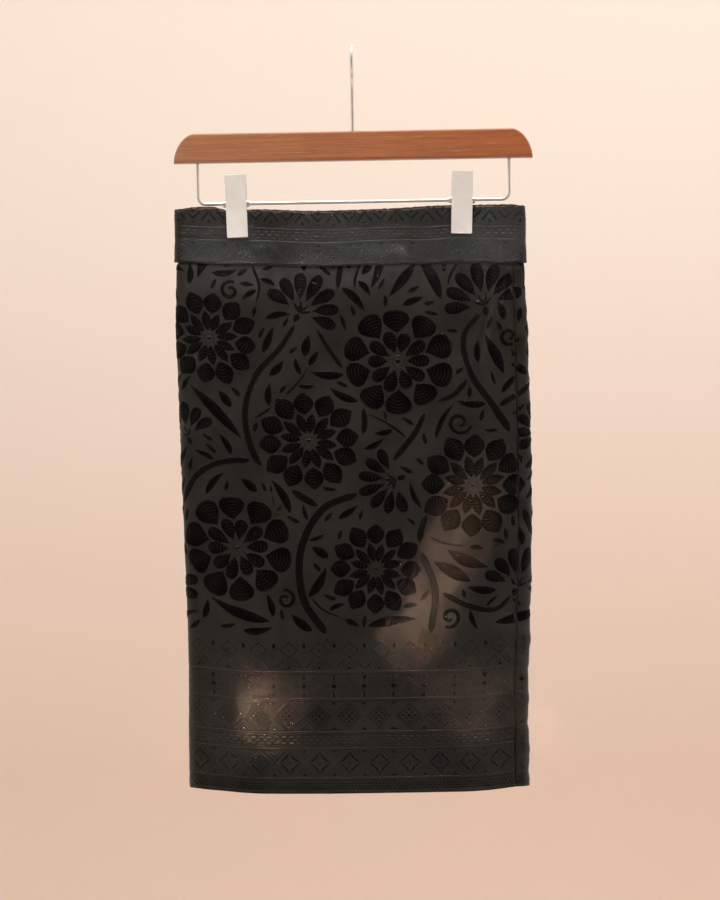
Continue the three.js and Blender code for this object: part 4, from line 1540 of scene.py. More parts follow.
RIB_KINDS = ("arcs", "vee", "bars")
RIB_SCALE = {"arcs": 1.2, "long": 0.86}  # rib pitch against the usual one
STATIONS_PER_RIB = 4
ROW_WIDTH = 1.6  # of the quads across a ribbed strip
STEM_STEP = 2.6
STEM_ROW_WIDTH = 0.75
PLAIN_STEP = 4.5
SUNK = -0.12  # how far a strip's walls reach into the ground
EDGE_SLOPE = 0.45  # how wide a strip's sloping edge is
RIB_SQUARENESS = 8  # how late a rib falls off towards the strip's sides
SMOOTH_BELOW = 52.0  # degrees
WAIST_LIMIT = 56.5  # up, where the waistband's figure ends
FRONT_STARTS, BACK_ENDS = 40.0, -150.0  # along, where the flower pieces change
UNDER_BAND = (4.0, 0.14)  # (how far below its top, how low) the figure is pressed flat


def refined(strip, step):
    """More stations between a strip's own, so that it follows the cloth; corners stay."""
    route, widths = [strip.route[0]], [strip.widths[0]]
    pairs = zip(strip.route, strip.route[1:], strip.widths, strip.widths[1:])
    for first, last, wide, next_wide in pairs:
        count = max(1, int(math.ceil(np.linalg.norm(last - first) / step)))
        for k in range(1, count + 1):
            route.append(first + (last - first) * k / count)
            widths.append(wide + (next_wide - wide) * k / count)
    return Strip(route, widths, strip.rib)


def mitred_sides(strip):
    """Side vectors that keep the strip's width round its corners."""
    steps = np.diff(strip.route, axis=0)
    steps /= np.linalg.norm(steps, axis=1, keepdims=True) + 1e-9
    before = np.concatenate([steps[:1], steps])
    after = np.concatenate([steps, steps[-1:]])
    middle = before + after
    middle /= np.linalg.norm(middle, axis=1, keepdims=True) + 1e-9
    cosine = np.clip((middle * after).sum(axis=1), 0.55, 1.0)
    return np.stack([-middle[:, 1], middle[:, 0]], axis=1) / cosine[:, None]


def rib_share(strip, along, across, widths, pitch):
    """1 on the ribs and 0 between them, at each place of a strip; 1 all over a plain one."""
    if strip.rib == "plain":
        return np.ones_like(along + across)
    phase = {
        "arcs": along + 0.55 * widths * across**2,
        "vee": along + 0.8 * np.abs(across) * widths,
        "bars": along + 0 * across,
        "long": across * widths + 0 * along,
    }[strip.rib]
    pitch *= RIB_SCALE.get(strip.rib, 1.0)
    return 0.5 + 0.5 * np.cos(2 * math.pi * phase / pitch)


def with_rows(strip, pitch):
    """A strip with the stations that its kind of rib needs, and its count of rows across."""
    if strip.rib in RIB_KINDS:
        step = pitch * RIB_SCALE.get(strip.rib, 1.0) / STATIONS_PER_RIB
        fine = even(strip.route, strip.widths, step, strip.rib)
        return fine, 2 * max(2, round(fine.widths.max() / ROW_WIDTH))
    if strip.rib == "long":
        fine = even(strip.route, strip.widths, STEM_STEP, strip.rib)
        return fine, max(4, round(fine.widths.max() * 2 / STEM_ROW_WIDTH))
    return refined(strip, PLAIN_STEP), 2


def raised_mesh(name, face, strips, top=None):
    """One mesh of many strips, laid on a face of the cloth."""
    sizes = settings().sizes
    work = bmesh.new()
    places, lifts, ribs = [], [], []
    for strip in strips:
        fine, rows = with_rows(strip, sizes.rib_pitch)
        sides = mitred_sides(fine)
        run = fine.lengths()
        station = np.concatenate([[0], np.arange(len(run)), [len(run) - 1]])
        inner = 1.0 - min(0.5, EDGE_SLOPE / fine.widths.max())
        across = np.concatenate([[-1.0], np.linspace(-inner, inner, rows + 1), [1.0]])
        bmesh.ops.create_grid(
            work, x_segments=len(station) - 1, y_segments=len(across) - 1, size=0.5
        )
        wide = fine.widths[station][None, :]
        away = (across[:, None] * wide)[:, :, None]
        place = fine.route[station][None] + sides[station][None] * away
        rib = rib_share(fine, run[station][None, :], across[:, None], wide, sizes.rib_pitch)
        lift = np.full(rib.shape, sizes.figure_height)
        if strip.rib != "plain":
            lift += sizes.rib_height * rib * (1 - np.abs(across[:, None]) ** RIB_SQUARENESS)
        lift[:, (0, 1, -2, -1)] = sizes.figure_height
        lift[(0, -1), :] = SUNK
        lift[:, (0, -1)] = SUNK
        places.append(place.reshape(-1, 2))
        lifts.append(lift.reshape(-1))
        ribs.append(rib.reshape(-1))
    places = np.concatenate(places)
    lifts = np.concatenate(lifts)
    ribs = np.concatenate(ribs)
    if top is not None:
        below, low = UNDER_BAND
        places[:, 1] = np.minimum(places[:, 1], top)
        lifts = np.where(places[:, 1] > top - below, np.minimum(lifts, low), lifts)
    points = face.at(places[:, 0], places[:, 1], lifts)
    layer = work.verts.layers.float.new(RIB)
    for vert, point, rib in zip(work.verts, points, ribs):
        vert.co = point
        vert[layer] = rib
    bmesh.ops.dissolve_degenerate(work, dist=0.004, edges=work.edges)
    mesh = mesh_from(work, name)
    mesh.shade_smooth()
    mesh.set_sharp_from_angle(angle=math.radians(SMOOTH_BELOW))
    return mesh


# ---- Wires --------------------------------------------------------------------------------


def tube_mesh(name, points, diameter, sides=20):
    """A round wire along a row of points, with rounded ends."""
    curve = bpy.data.curves.new(name, "CURVE")
    curve.dimensions = "3D"
    curve.bevel_depth = diameter / 2 * MM
    curve.bevel_resolution = max(1, sides // 4 - 1)
    curve.use_fill_caps = True
    route = [Vector(p) for p in points]
    start = (route[0] - route[1]).normalized()
    finish = (route[-1] - route[-2]).normalized()
    before, after = [], []
    for share in (0.35, 0.7, 0.94):  # each end closes in a small dome
        height = share * diameter / 2
        width = math.sqrt(1 - share * share)
        before.insert(0, (route[0] + start * height, width))
        after.append((route[-1] + finish * height, width))
    every = before + [(place, 1.0) for place in route] + after
    spline = curve.splines.new("POLY")
    spline.points.add(len(every) - 1)
    for point, (place, radius) in zip(spline.points, every):
        point.co = (*(place * MM), 1.0)
        point.radius = radius
    holder = bpy.data.objects.new(name, curve)
    mesh = bpy.data.meshes.new_from_object(holder)
    bpy.data.objects.remove(holder)
    bpy.data.curves.remove(curve)
    mesh.name = name
    mesh.shade_smooth()
    return mesh


def round_points(place, radius, first, last, steps):
    turns = [math.radians(first + (last - first) * k / steps) for k in range(steps + 1)]
    return [place(radius * math.cos(t), radius * math.sin(t)) for t in turns]


# ---- Settings -----------------------------------------------------------------------------


class SampingColours(bpy.types.PropertyGroup):
    ground: bpy.props.FloatVectorProperty(
        name="Ground", description="Satin ground of the brocade", subtype="COLOR", size=4,
        default=(0.0262, 0.0254, 0.0222, 1.0),
    )
    figure: bpy.props.FloatVectorProperty(
        name="Figure", description="Raised figure of the brocade", subtype="COLOR", size=4,
        default=(0.0018, 0.0018, 0.0016, 1.0),
    )
    # painted light: the left end's tone is the stain made paler and pinker by the light falling
    # there
    wood_lit_left: bpy.props.FloatVectorProperty(
        name="Wood, left", description="Stain at the bar's left end", subtype="COLOR", size=4,
        default=(0.53, 0.240, 0.125, 1.0),
    )
    wood_right: bpy.props.FloatVectorProperty(
        name="Wood, right", description="Stain at the bar's right end", subtype="COLOR", size=4,
        default=(0.50, 0.155, 0.048, 1.0),
    )
    plating: bpy.props.FloatVectorProperty(
        name="Plating", description="Bright wire of the hook and the lower rail",
        subtype="COLOR", size=4, default=(0.86, 0.82, 0.77, 1.0),
    )
    # painted reflection: the plates' near-white colour stands in for the bright light that their
    # plating mirrors
    clip: bpy.props.FloatVectorProperty(
        name="Clips", description="Satin plates of the clips", subtype="COLOR", size=4,
        default=(0.93, 0.95, 0.95, 1.0),
    )
    wall: bpy.props.FloatVectorProperty(
        name="Wall", description="Room round the object", subtype="COLOR", size=4,
        default=(0.80, 0.735, 0.675, 1.0),
    )


class SampingSizes(bpy.types.PropertyGroup):
    cloth: bpy.props.FloatProperty(
        name="Cloth", description="Thickness of one layer of cloth, in millimetres",
        default=0.6, min=0.2, max=1.0,
    )
    figure_height: bpy.props.FloatProperty(
        name="Figure height", description="How far the figure stands proud, in millimetres",
        default=0.22, min=0.05, max=0.5,
    )
    rib_height: bpy.props.FloatProperty(
        name="Rib height", description="Height of the ribs in the figure, in millimetres",
        default=0.42, min=0.0, max=0.6,
    )
    rib_pitch: bpy.props.FloatProperty(
        name="Rib pitch", description="Distance from rib to rib, in millimetres",
        default=3.0, min=1.0, max=8.0,
    )
    key_power: bpy.props.FloatProperty(
        name="Key light", description="Power of the main soft light", default=39.0, min=0.0,
        unit="POWER",
    )
    fill_power: bpy.props.FloatProperty(
        name="Fill light", description="Power of the soft light on the other side",
        default=19.5, min=0.0, unit="POWER",
    )


class SampingSettings(bpy.types.PropertyGroup):
    colours: bpy.props.PointerProperty(type=SampingColours)
    sizes: bpy.props.PointerProperty(type=SampingSizes)


# ---- Operators ----------------------------------------------------------------------------


CAMERA_PLACE = (0.0017, -2.6, -0.427)
CAMERA_LENS = 122.7
CAMERA_TILT = 1.03
WARM = (1.0, 0.61, 0.43)
LAMPS = (
    # name, place, target, width, height, power, colour, spread and spin in degrees
    ("band light", (0.0, -2.8, 0.45), (0.0, 0.0, -0.215), 1.2, 0.06, 0.032, (0.97, 1.0, 0.98), 2.0),
    ("warm strip", (0.20, -2.75, -0.66), (0.085, 0.0, -0.545), 0.03, 0.2, 0.015, WARM, 1.6, -24.0),
    ("low warm light", (-0.25, -2.75, -0.97), (-0.1175, 0.0, -0.695), 0.06, 0.05, 0.0075,
     WARM, 1.8),
    ("right warm light", (0.27, -2.75, -0.97), (0.1269, 0.0, -0.695), 0.06, 0.05, 0.004, WARM, 1.8),
    ("side light", (-2.3, -1.4, -0.36), (-0.183, 0.0, -0.335), 0.08, 0.08, 0.012,
     (1.0, 0.72, 0.64), 3.2),
    ("top light", (0.0, -0.35, 1.3), (0.0, 0.0, -0.1), 0.7, 0.3, 0.8, (1.0, 0.9, 0.8), 40.0),
    ("wall light", (0.4, 1.2, 1.9), (0.7, 4.2, -0.5), 3.0, 1.0, 101.0, (1.0, 0.95, 0.9)),
)


def area_light(name, place, target, width, height, power, colour, spread=180.0, spin=0.0):
    light = bpy.data.lights.new(name, "AREA")
    light.shape = "RECTANGLE"
    light.size = width
    light.size_y = height
    light.energy = power
    light.color = colour
    light.spread = math.radians(spread)
    holder = bpy.data.objects.new(name, light)
    bpy.context.scene.collection.objects.link(holder)
    away = Vector(place) - Vector(target)
    holder.location = place
    spun = Matrix.Rotation(math.radians(spin), 3, "Z").to_quaternion()
    holder.rotation_euler = (away.to_track_quat("Z", "Y") @ spun).to_euler()
    holder.visible_camera = False
    return holder


def room_material():
    """Painted wall and floor: cream above, with painted shade low down, darker and pinker."""
    material, tree, shader = new_material("pale painted room")
    place = tree.object_place()
    parts = tree.add("ShaderNodeSeparateXYZ", {"Vector": place}).outputs
    wall = tuple(settings().colours.wall)
    # painted shade: low down, the wall and the floor turn darker and pinker, where less light falls
    low = (0.79, 0.625, 0.53, 1.0)
    up = tree.remap(parts["Z"], -1.75, 0.1)
    cloudy = tree.noise(place, 0.9, 2.0)
    tone = tree.mix(up, low, wall)
    tone = tree.mix(tree.remap(cloudy, 0.35, 0.65, 0.0, 0.12), tone, (0.84, 0.76, 0.69, 1.0))
    tree.feed(shader.inputs["Base Color"], tone)
    tree.feed(shader.inputs["Roughness"], tree.remap(cloudy, 0.3, 0.7, 0.85, 0.95))
    shader.inputs["Specular IOR Level"].default_value = 0.1
    bump(tree, shader, tree.noise(place, 160.0, 2.0), 0.0004, 0.2)
    return material


class SAMPING_OT_stage(bpy.types.Operator):
    """Makes the pale room, its soft lights and the camera"""

    bl_idname = "samping.stage"
    bl_label = "Room, lights and camera"

    def execute(self, context):
        self.room(context.scene)
        self.daylight(context.scene)
        self.lamps()
        self.camera(context.scene)
        context.scene.view_settings.view_transform = "Standard"
        return {"FINISHED"}

    def room(self, scene):
        """A round room whose floor turns up into its wall."""
        floor, wall, cove, top = -2.0, 4.2, 0.7, 2.4
        work = bmesh.new()
        corner = round_points(
            lambda x, z: (wall - cove + x, floor + cove + z), cove, -90, 0, 10
        )
        profile = [(0.0, floor), (wall - cove, floor), *corner[1:], (wall, top)]
        verts = [work.verts.new((x, 0.0, z)) for x, z in profile]
        edges = [work.edges.new(pair) for pair in zip(verts, verts[1:])]
        bmesh.ops.spin(
            work, geom=verts + edges, cent=(0, 0, 0), axis=(0, 0, 1), angle=2 * math.pi,
            steps=96, use_merge=True,
        )
        bmesh.ops.remove_doubles(work, verts=work.verts, dist=1e-5)
        bmesh.ops.recalc_face_normals(work, faces=work.faces)
        bmesh.ops.reverse_faces(work, faces=work.faces)
        mesh = bpy.data.meshes.new("room")
        work.to_mesh(mesh)
        work.free()
        mesh.shade_smooth()
        room = bpy.data.objects.new("room", mesh)
        mesh.materials.append(room_material())
        scene.collection.objects.link(room)
        room.visible_glossy = False  # sheen and gloss show the lamps and the daylight alone

    def daylight(self, scene):
        """Even light for surfaces; for gloss dark in front, and bright around and above."""
        even_strength = 0.18
        world = bpy.data.worlds.new("soft daylight")
        world.use_nodes = True
        sky = NodeTree(world.node_tree)
        background = world.node_tree.nodes["Background"]
        background.inputs["Color"].default_value = (1.0, 0.93, 0.86, 1.0)
        way = sky.add("ShaderNodeTexCoord").outputs["Generated"]
        parts = sky.add("ShaderNodeSeparateXYZ", {"Vector": way}).outputs
        above = sky.remap(parts["Z"], 0.6, 0.95, 0.0, 0.6)
        around = sky.remap(parts["Y"], -0.95, -0.4, 0.03, 1.1)
        more = sky.math("SUBTRACT", sky.math("ADD", above, around), even_strength)
        glossy = sky.add("ShaderNodeLightPath").outputs["Is Glossy Ray"]
        strength = sky.math("MULTIPLY_ADD", glossy, more, even_strength)
        sky.feed(background.inputs["Strength"], strength)
        scene.world = world

    def lamps(self):
        sizes = settings().sizes
        middle = (0.0, 0.0, -0.45)
        for name, place, power, colour in (
            ("key light", (-1.7, -2.5, 1.1), sizes.key_power, (1.0, 0.97, 0.93)),
            ("fill light", (2.1, -2.2, 0.3), sizes.fill_power, (1.0, 0.94, 0.88)),
        ):
            soft = area_light(name, place, middle, 1.5, 1.5, power, colour)
            soft.visible_glossy = False
        for lamp in LAMPS:
            area_light(*lamp)

    def camera(self, scene):
        """Straight in front, turned by about a degree."""
        camera = bpy.data.cameras.new("camera")
        camera.sensor_fit = "HORIZONTAL"
        camera.sensor_width = 36.0
        camera.lens = CAMERA_LENS
        camera.clip_start = 0.05
        camera.clip_end = 40.0
        holder = bpy.data.objects.new("camera", camera)
        scene.collection.objects.link(holder)
        tilt = Matrix.Rotation(math.radians(CAMERA_TILT), 4, "Y")
        level = Matrix.Rotation(math.radians(90.0), 4, "X")
        holder.matrix_world = Matrix.Translation(CAMERA_PLACE) @ tilt @ level
        scene.camera = holder


class SAMPING_OT_hanger_bar(bpy.types.Operator):
    """Makes the straight wooden bar with its rounded shoulders and edges"""

    bl_idname = "samping.hanger_bar"
    bl_label = "Wooden bar"

    def execute(self, context):
        steps = 14
        power = 2 / BAR_SHOULDER_POWER
        shoulder = []
        for k in range(steps + 1):
            turn = math.pi / 2 * k / steps
            x = BAR_HALF_LENGTH - BAR_SHOULDER + BAR_SHOULDER * math.cos(turn) ** power
            shoulder.append((x, BAR_HEIGHT * math.sin(turn) ** power))
        outline = shoulder + [(-x, z) for x, z in reversed(shoulder)]
        foot = -(BAR_TOP + BAR_HEIGHT)
        work = bmesh.new()
        half = BAR_THICKNESS / 2
        verts = [work.verts.new((x, -half, foot + z)) for x, z in outline]
        side = work.faces.new(verts)
        grown = bmesh.ops.extrude_face_region(work, geom=[side])
        moved = [g for g in grown["geom"] if isinstance(g, bmesh.types.BMVert)]
        bmesh.ops.translate(work, verts=moved, vec=(0, BAR_THICKNESS, 0))
        bmesh.ops.recalc_face_normals(work, faces=work.faces)
        rims = [e for e in work.edges if abs(e.verts[0].co.y - e.verts[1].co.y) < 0.01]
        round_edges(work, rims, BAR_ROUNDING, 5)
        bmesh.ops.remove_doubles(work, verts=work.verts, dist=0.02)
        mesh = mesh_from(work, "wooden_bar")
        bar = make_object("wooden_bar", mesh, wood_material(), smooth_below=50)
        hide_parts("hanger_bar")
        return {"FINISHED"}


class SAMPING_OT_wires(bpy.types.Operator):
    """Makes the hook and the lower wire that carries the clips"""

    bl_idname = "samping.wires"
    bl_label = "Hook and lower wire"

    def execute(self, context):
        centre = -(HOOK_BEND - HOOK_WIRE / 2)
        round_part = round_points(
            lambda y, z: Vector((0, y, centre + z)), HOOK_BEND, HOOK_START, HOOK_TIP, 48
        )
        heading = (round_part[1] - round_part[0]).normalized()
        shank_top = Vector((0, 0, -SHANK_TOP))
        grip = (
            shank_top,
            shank_top + Vector((0, 0, SHANK_LEAVING)),
            round_part[0] - heading * SHANK_ARRIVING,
            round_part[0],
        )
        bend = []
        for k in range(1, 16):
            t = k / 16
            weights = ((1 - t) ** 3, 3 * t * (1 - t) ** 2, 3 * t * t * (1 - t), t**3)
            bend.append(sum((g * w for g, w in zip(grip, weights)), Vector()))
        foot = Vector((0, 0, -(BAR_TOP + SHANK_IN_BAR)))
        route = [foot, shank_top, *bend, *round_part]
        mesh = tube_mesh("bright_hook", route, HOOK_WIRE)
        hook = make_object("bright_hook", mesh, plating())
        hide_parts("hook")

        corner = WIRE_HALF_SPAN - WIRE_BEND
        level = -WIRE_DROP + WIRE_BEND
        top = -(BAR_TOP + BAR_HEIGHT) + WIRE_IN_BAR
        route = [Vector((-WIRE_HALF_SPAN, 0, top))]
        for middle, first in ((-corner, 180), (corner, 270)):
            route += round_points(
                lambda x, z: Vector((middle + x, 0, level + z)), WIRE_BEND, first, first + 90, 12
            )
        route.append(Vector((WIRE_HALF_SPAN, 0, top)))
        mesh = tube_mesh("lower_wire", route, WIRE_DIAMETER)
        wire = make_object("lower_wire", mesh, plating())
        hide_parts("clip_wire")
        return {"FINISHED"}


def round_edges(work, edges, offset, segments):
    bmesh.ops.bevel(
        work, geom=edges, offset=offset, segments=segments, profile=0.5, affect="EDGES",
        material=-1,
    )


def clip_plate(side):
    """One pressed plate in the clip's own frame, hollow behind, in millimetres."""
    work = bmesh.new()
    block = bmesh.ops.create_cube(work, size=1.0)["verts"]
    bmesh.ops.scale(work, vec=(CLIP_WIDTH, CLIP_DEPTH, CLIP_LENGTH), verts=block)
    bmesh.ops.translate(work, vec=(0, -CLIP_DEPTH / 2, CLIP_LENGTH / 2), verts=block)
    upright = [e for e in work.edges if abs(e.verts[0].co.y - e.verts[1].co.y) > 1.0]
    round_edges(work, upright, PLATE_CORNER, 3)
    rim = [e for e in work.edges if all(v.co.y < 0.01 - CLIP_DEPTH for v in e.verts)]
    round_edges(work, rim, PLATE_RIM, 3)
    front = [f for f in work.faces if all(v.co.y < 0.01 - CLIP_DEPTH for v in f.verts)]
    bmesh.ops.inset_region(work, faces=front, thickness=0.2, use_even_offset=True)
    back = [f for f in work.faces if all(v.co.y > -0.01 for v in f.verts)]
    bmesh.ops.inset_region(work, faces=back, thickness=PLATE_WALL, use_even_offset=True)
    pressed = bmesh.ops.extrude_face_region(work, geom=back)["geom"]
    floor = [g for g in pressed if isinstance(g, bmesh.types.BMVert)]
    bmesh.ops.delete(work, geom=back, context="FACES")
    bmesh.ops.translate(work, vec=(0, -(CLIP_DEPTH - PLATE_SHEET), 0), verts=floor)
    # two lugs reach in to the barrel
    lean = math.radians(CLIP_SPREAD)
    up = CLIP_BELOW_WIRE * math.cos(lean) - CLIP_JAW * math.sin(lean)
    away = CLIP_BELOW_WIRE * math.sin(lean) + CLIP_JAW * math.cos(lean)
    reach = away - BARREL_RADIUS - BARREL_GAP
    inward = 0.0 if side == "front" else LUG_STEP
    across = CLIP_WIDTH / 2 - LUG_INSET - PLATE_SHEET / 2 - inward
    for hand in (-1, 1):
        lug = bmesh.ops.create_cube(work, size=1.0)["verts"]
        bmesh.ops.scale(work, vec=(PLATE_SHEET, LUG_ROOT + reach, LUG_HEIGHT), verts=lug)
        bmesh.ops.translate(work, vec=(hand * across, (reach - LUG_ROOT) / 2, up), verts=lug)
        edges = [e for e in work.edges if all(v in lug for v in e.verts)]
        round_edges(work, edges, LUG_ROUNDING, 2)
    placed = Matrix.Translation((0, -CLIP_JAW, -CLIP_BELOW_WIRE)) @ Matrix.Rotation(lean, 4, "X")
    if side == "back":
        placed = Matrix.Rotation(math.pi, 4, "Z") @ placed
    bmesh.ops.transform(work, matrix=placed, verts=work.verts)
    return work


def clip_place(x, lean):
    return Matrix.Translation((x, 0, -WIRE_DROP)) @ Matrix.Rotation(math.radians(lean), 4, "Y")


class SAMPING_OT_clips(bpy.types.Operator):
    """Makes both clips: two plates, a barrel on the wire and a coil spring each"""

    bl_idname = "samping.clips"
    bl_label = "Clips"

    def execute(self, context):
        plated = bright_painted_plate_material()
        for name, x, lean in CLIP_PLACES:
            place = clip_place(x, lean)
            for side in ("front", "back"):
                work = clip_plate(side)
                bmesh.ops.transform(work, matrix=place, verts=work.verts)
                label = f"{name}_{side}_plate"
                mesh = mesh_from(work, label)
                plate = make_object(label, mesh, plated, smooth_below=40)
                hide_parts(f"{name}_{side}")
            self.barrel(name, place)
            self.spring(name, place)
        return {"FINISHED"}

    def barrel(self, name, place):
        """A rolled tube with turned lips."""
        half, lip = BARREL_LENGTH / 2, BARREL_LIP
        inner, outer = BARREL_BORE, BARREL_RADIUS
        profile = [(-half, inner), (-half, outer - lip), (-half + lip, outer), (half - lip, outer)]
        profile += [(half, outer - lip), (half, inner)]
        work = bmesh.new()
        verts = [work.verts.new((x, 0, r)) for x, r in profile]
        edges = [work.edges.new(p) for p in zip(verts, verts[1:] + verts[:1])]
        bmesh.ops.spin(
            work, geom=verts + edges, cent=(0, 0, 0), axis=(1, 0, 0), angle=2 * math.pi, steps=32,
            use_merge=True,
        )
        bmesh.ops.remove_doubles(work, verts=work.verts, dist=0.001)
        bmesh.ops.recalc_face_normals(work, faces=work.faces)
        bmesh.ops.transform(work, matrix=place, verts=work.verts)
        label = f"{name}_barrel_tube"
        mesh = mesh_from(work, label)
        barrel = make_object(label, mesh, plating(), smooth_below=40)
        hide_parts(f"{name}_barrel")

    def spring(self, name, place):
        """A coil round the barrel."""
        radius = BARREL_RADIUS + BARREL_GAP + SPRING_WIRE / 2
        steps = SPRING_TURNS * 18
        run = SPRING_LENGTH - SPRING_WIRE
        route = []
        for k in range(steps + 1):
            turn = 2 * math.pi * SPRING_TURNS * k / steps
            x = -run / 2 + run * k / steps
            point = Vector((x, radius * math.sin(turn), radius * math.cos(turn)))
            route.append(place @ point)
        mesh = tube_mesh(f"{name}_coil", route, SPRING_WIRE, sides=8)
        coil = make_object(f"{name}_coil", mesh, plating())
        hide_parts(f"{name}_spring")


class SAMPING_OT_skirt(bpy.types.Operator):
    """Makes the skirt's cloth: a soft tube with its seam, creases and turned hem"""

    bl_idname = "samping.skirt"
    bl_label = "Skirt cloth"

    def execute(self, context):
        face = face_of("skirt")
        turned = []
        for depth, rise in HEM_TURN:
            place = np.searchsorted(face.heights, rise / SKIRT_LENGTH)
            row = np.clip(place, 0, len(face.heights) - 1)
            ring = face.points[row] - face.normals[row] * depth
            ring[:, 2] = face.points[0, :, 2] + rise
            turned.insert(0, ring)
        points = np.concatenate([np.array(turned), face.points], axis=0)
        mesh = lattice_mesh("skirt_brocade", points, closed=False)
        skirt = make_object("skirt_brocade", mesh, satin())
        thicken(skirt, settings().sizes.cloth)
        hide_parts("skirt_cloth")
        return {"FINISHED"}


class SAMPING_OT_waistband(bpy.types.Operator):
    """Makes the waistband: one strip folded over the skirt's top edge"""

    bl_idname = "samping.waistband"
    bl_label = "Waistband"

    def execute(self, context):
        face = face_of("band")
        upper = face.points[-1]
        normal = face.normals[-1].copy()
        normal[:, 2] = 0.0
        normal /= np.linalg.norm(normal, axis=1, keepdims=True)
        tufts = np.sin(face.columns * 0.83) + 0.8 * np.sin(face.columns * 0.57 + 1.3)
        rings = []
        for k in range(1, 8):
            turn = math.pi * k / 8
            ring = upper - normal * (BAND_THROUGH / 2 * (1 - math.cos(turn)))
            ring[:, 2] += (BAND_FOLD_RISE + BAND_TUFTS * tufts) * math.sin(turn)
            rings.append(ring)
        for share in np.linspace(0.0, 0.86, 10):
            row = int(round((1 - share) * (len(face.heights) - 1)))
            rings.append(face.points[row] - normal * BAND_THROUGH)
        points = np.concatenate([face.points, np.array(rings)], axis=0)
        mesh = lattice_mesh("waistband_brocade", points, closed=False)
        band = make_object("waistband_brocade", mesh, satin())
        thicken(band, settings().sizes.cloth)
        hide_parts("waistband")
        return {"FINISHED"}


class SAMPING_OT_flowers(bpy.types.Operator):
    """Makes the raised scrolling flowers of the skirt, front and back"""

    bl_idname = "samping.flowers"
    bl_label = "Flower field"

    def execute(self, context):
        face = face_of("skirt")
        first = SEAM - GIRTH
        pieces = {"front_flowers": [], "back_flowers": [], "side_flowers": []}
        for strip in flower_repeat():
            for shift in (-2 * REPEAT, -REPEAT, 0.0):
                moved = strip.moved(shift)
                inside = (moved.route[:, 0] > first + 1) & (moved.route[:, 0] < SEAM - 1)
                inside &= moved.route[:, 1] < FLOWER_LIMIT + 2
                for begin, end in true_runs(inside):
                    if end - begin >= 3:
                        part = Strip(moved.route[begin:end], moved.widths[begin:end], moved.rib)
                        pieces[self.piece_at(part.route[:, 0].mean())].append(part)
        for name, strips in pieces.items():
            mesh = raised_mesh(name, face, strips, top=FLOWER_LIMIT)
            make_object(name, mesh, figure())
        return {"FINISHED"}

    def piece_at(self, along):
        if along > FRONT_STARTS:
            return "front_flowers"
        return "side_flowers" if along > BACK_ENDS else "back_flowers"


class SAMPING_OT_borders(bpy.types.Operator):
    """Makes the raised geometric borders of the hem and of the waistband"""

    bl_idname = "samping.borders"
    bl_label = "Borders"

    def execute(self, context):
        strips = border(hem_unit(), HEM_LINES, SEAM - GIRTH, SEAM)
        mesh = raised_mesh("hem_border", face_of("skirt"), strips)
        make_object("hem_border", mesh, figure())
        strips = border(waist_unit(), WAIST_LINES, BAND_SEAM, BAND_SEAM + GIRTH)
        mesh = raised_mesh("waist_border", face_of("band"), strips, top=WAIST_LIMIT)
        make_object("waist_border", mesh, figure())
        return {"FINISHED"}


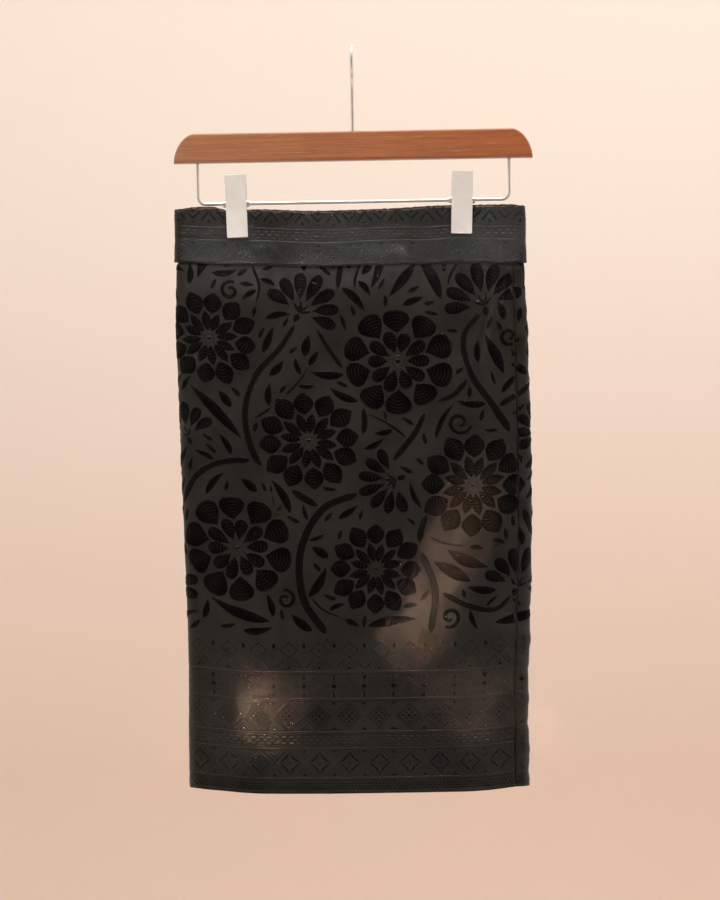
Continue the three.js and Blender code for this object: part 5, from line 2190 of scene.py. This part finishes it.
class SAMPING_OT_sewing(bpy.types.Operator):
    """Makes the stitches, the dark lines of painted shade along the edges and the seam, and the
    fibres along the waistband's fold
    """

    bl_idname = "samping.sewing"
    bl_label = "Stitches and edges"

    def execute(self, context):
        skirt = face_of("skirt")
        band = face_of("band")
        thread = thread_material()
        skirt_ends = (SEAM - GIRTH, SEAM)
        band_ends = (BAND_SEAM, BAND_SEAM + GIRTH)

        def level_line(ends, level):
            return [(x, level) for x in np.linspace(ends[0] + 1, ends[1] - 1, 200)]

        hem = stitches(level_line(skirt_ends, HEM_STITCH_LINE), THREAD, 5)
        seam = []
        off = SEAM_STITCH_LINE
        for along, seed in ((SEAM - off, 7), (SEAM - GIRTH + off, 8)):
            seam += stitches([(along, up) for up in np.linspace(2, SEAM_TOP, 80)], 0.5, seed)
        edge = stitches(level_line(band_ends, BAND_STITCH_LINE), THREAD, 6)
        self.raise_piece("skirt_stitches", skirt, hem + seam, thread)
        self.raise_piece("waist_stitches", band, edge, thread)
        # painted shade: dark strips along the hem, the seam and the waistband's lower edge stand in
        # for the shade lines there
        shade_lines = [painted_shade_line(*skirt_ends, 0.9, 1.6, 11)]
        for along, seed in ((SEAM - 0.7, 14), (SEAM - GIRTH + 0.7, 15)):
            upright = painted_shade_line(2, SEAM_TOP, along, 0.9, seed)
            shade_lines.append(Strip(upright.route[:, ::-1], upright.widths, "plain"))
        self.raise_piece("skirt_edge_shade", skirt, shade_lines, figure())
        self.raise_piece("waist_edge_shade", band, [painted_shade_line(*band_ends, 1.1, 2.3, 12)], figure())
        self.raise_piece("waist_fibres", band, fibres(band, *band_ends, 13), lit_fibre_material())
        return {"FINISHED"}

    def raise_piece(self, name, face, strips, material):
        make_object(name, raised_mesh(name, face, strips), material)


class SAMPING_OT_declare(bpy.types.Operator):
    """An empty step: it makes nothing and says nothing"""

    bl_idname = "samping.declare"
    bl_label = "Cut sizes"

    def execute(self, context):
        return {"FINISHED"}


class SAMPING_PT_panel(bpy.types.Panel):
    """Lists the samping's pieces in the sidebar"""

    bl_label = "Samping"
    bl_idname = "SAMPING_PT_panel"
    bl_space_type = "VIEW_3D"
    bl_region_type = "UI"
    bl_category = "Samping"

    def draw(self, context):
        for group in (context.scene.samping.colours, context.scene.samping.sizes):
            box = self.layout.box()
            for name in group.bl_rna.properties.keys():
                if name not in ("rna_type", "name"):
                    box.prop(group, name)
        for operator in OPERATORS:
            self.layout.operator(operator.bl_idname)


OPERATORS = (
    SAMPING_OT_stage,
    SAMPING_OT_hanger_bar,
    SAMPING_OT_wires,
    SAMPING_OT_clips,
    SAMPING_OT_skirt,
    SAMPING_OT_waistband,
    SAMPING_OT_flowers,
    SAMPING_OT_borders,
    SAMPING_OT_sewing,
    SAMPING_OT_declare,
)
CLASSES = (SampingColours, SampingSizes, SampingSettings, *OPERATORS, SAMPING_PT_panel)


def register():
    for kind in CLASSES:
        bpy.utils.register_class(kind)
    bpy.types.Scene.samping = bpy.props.PointerProperty(type=SampingSettings)


def unregister():
    del bpy.types.Scene.samping
    for kind in reversed(CLASSES):
        bpy.utils.unregister_class(kind)


def main():
    """Makes every piece in order."""
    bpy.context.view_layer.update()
    register()
    for operator in OPERATORS:
        group, name = operator.bl_idname.split(".")
        getattr(getattr(bpy.ops, group), name)()
    bpy.context.view_layer.update()
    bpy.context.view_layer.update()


if __name__ == "__main__":
    main()
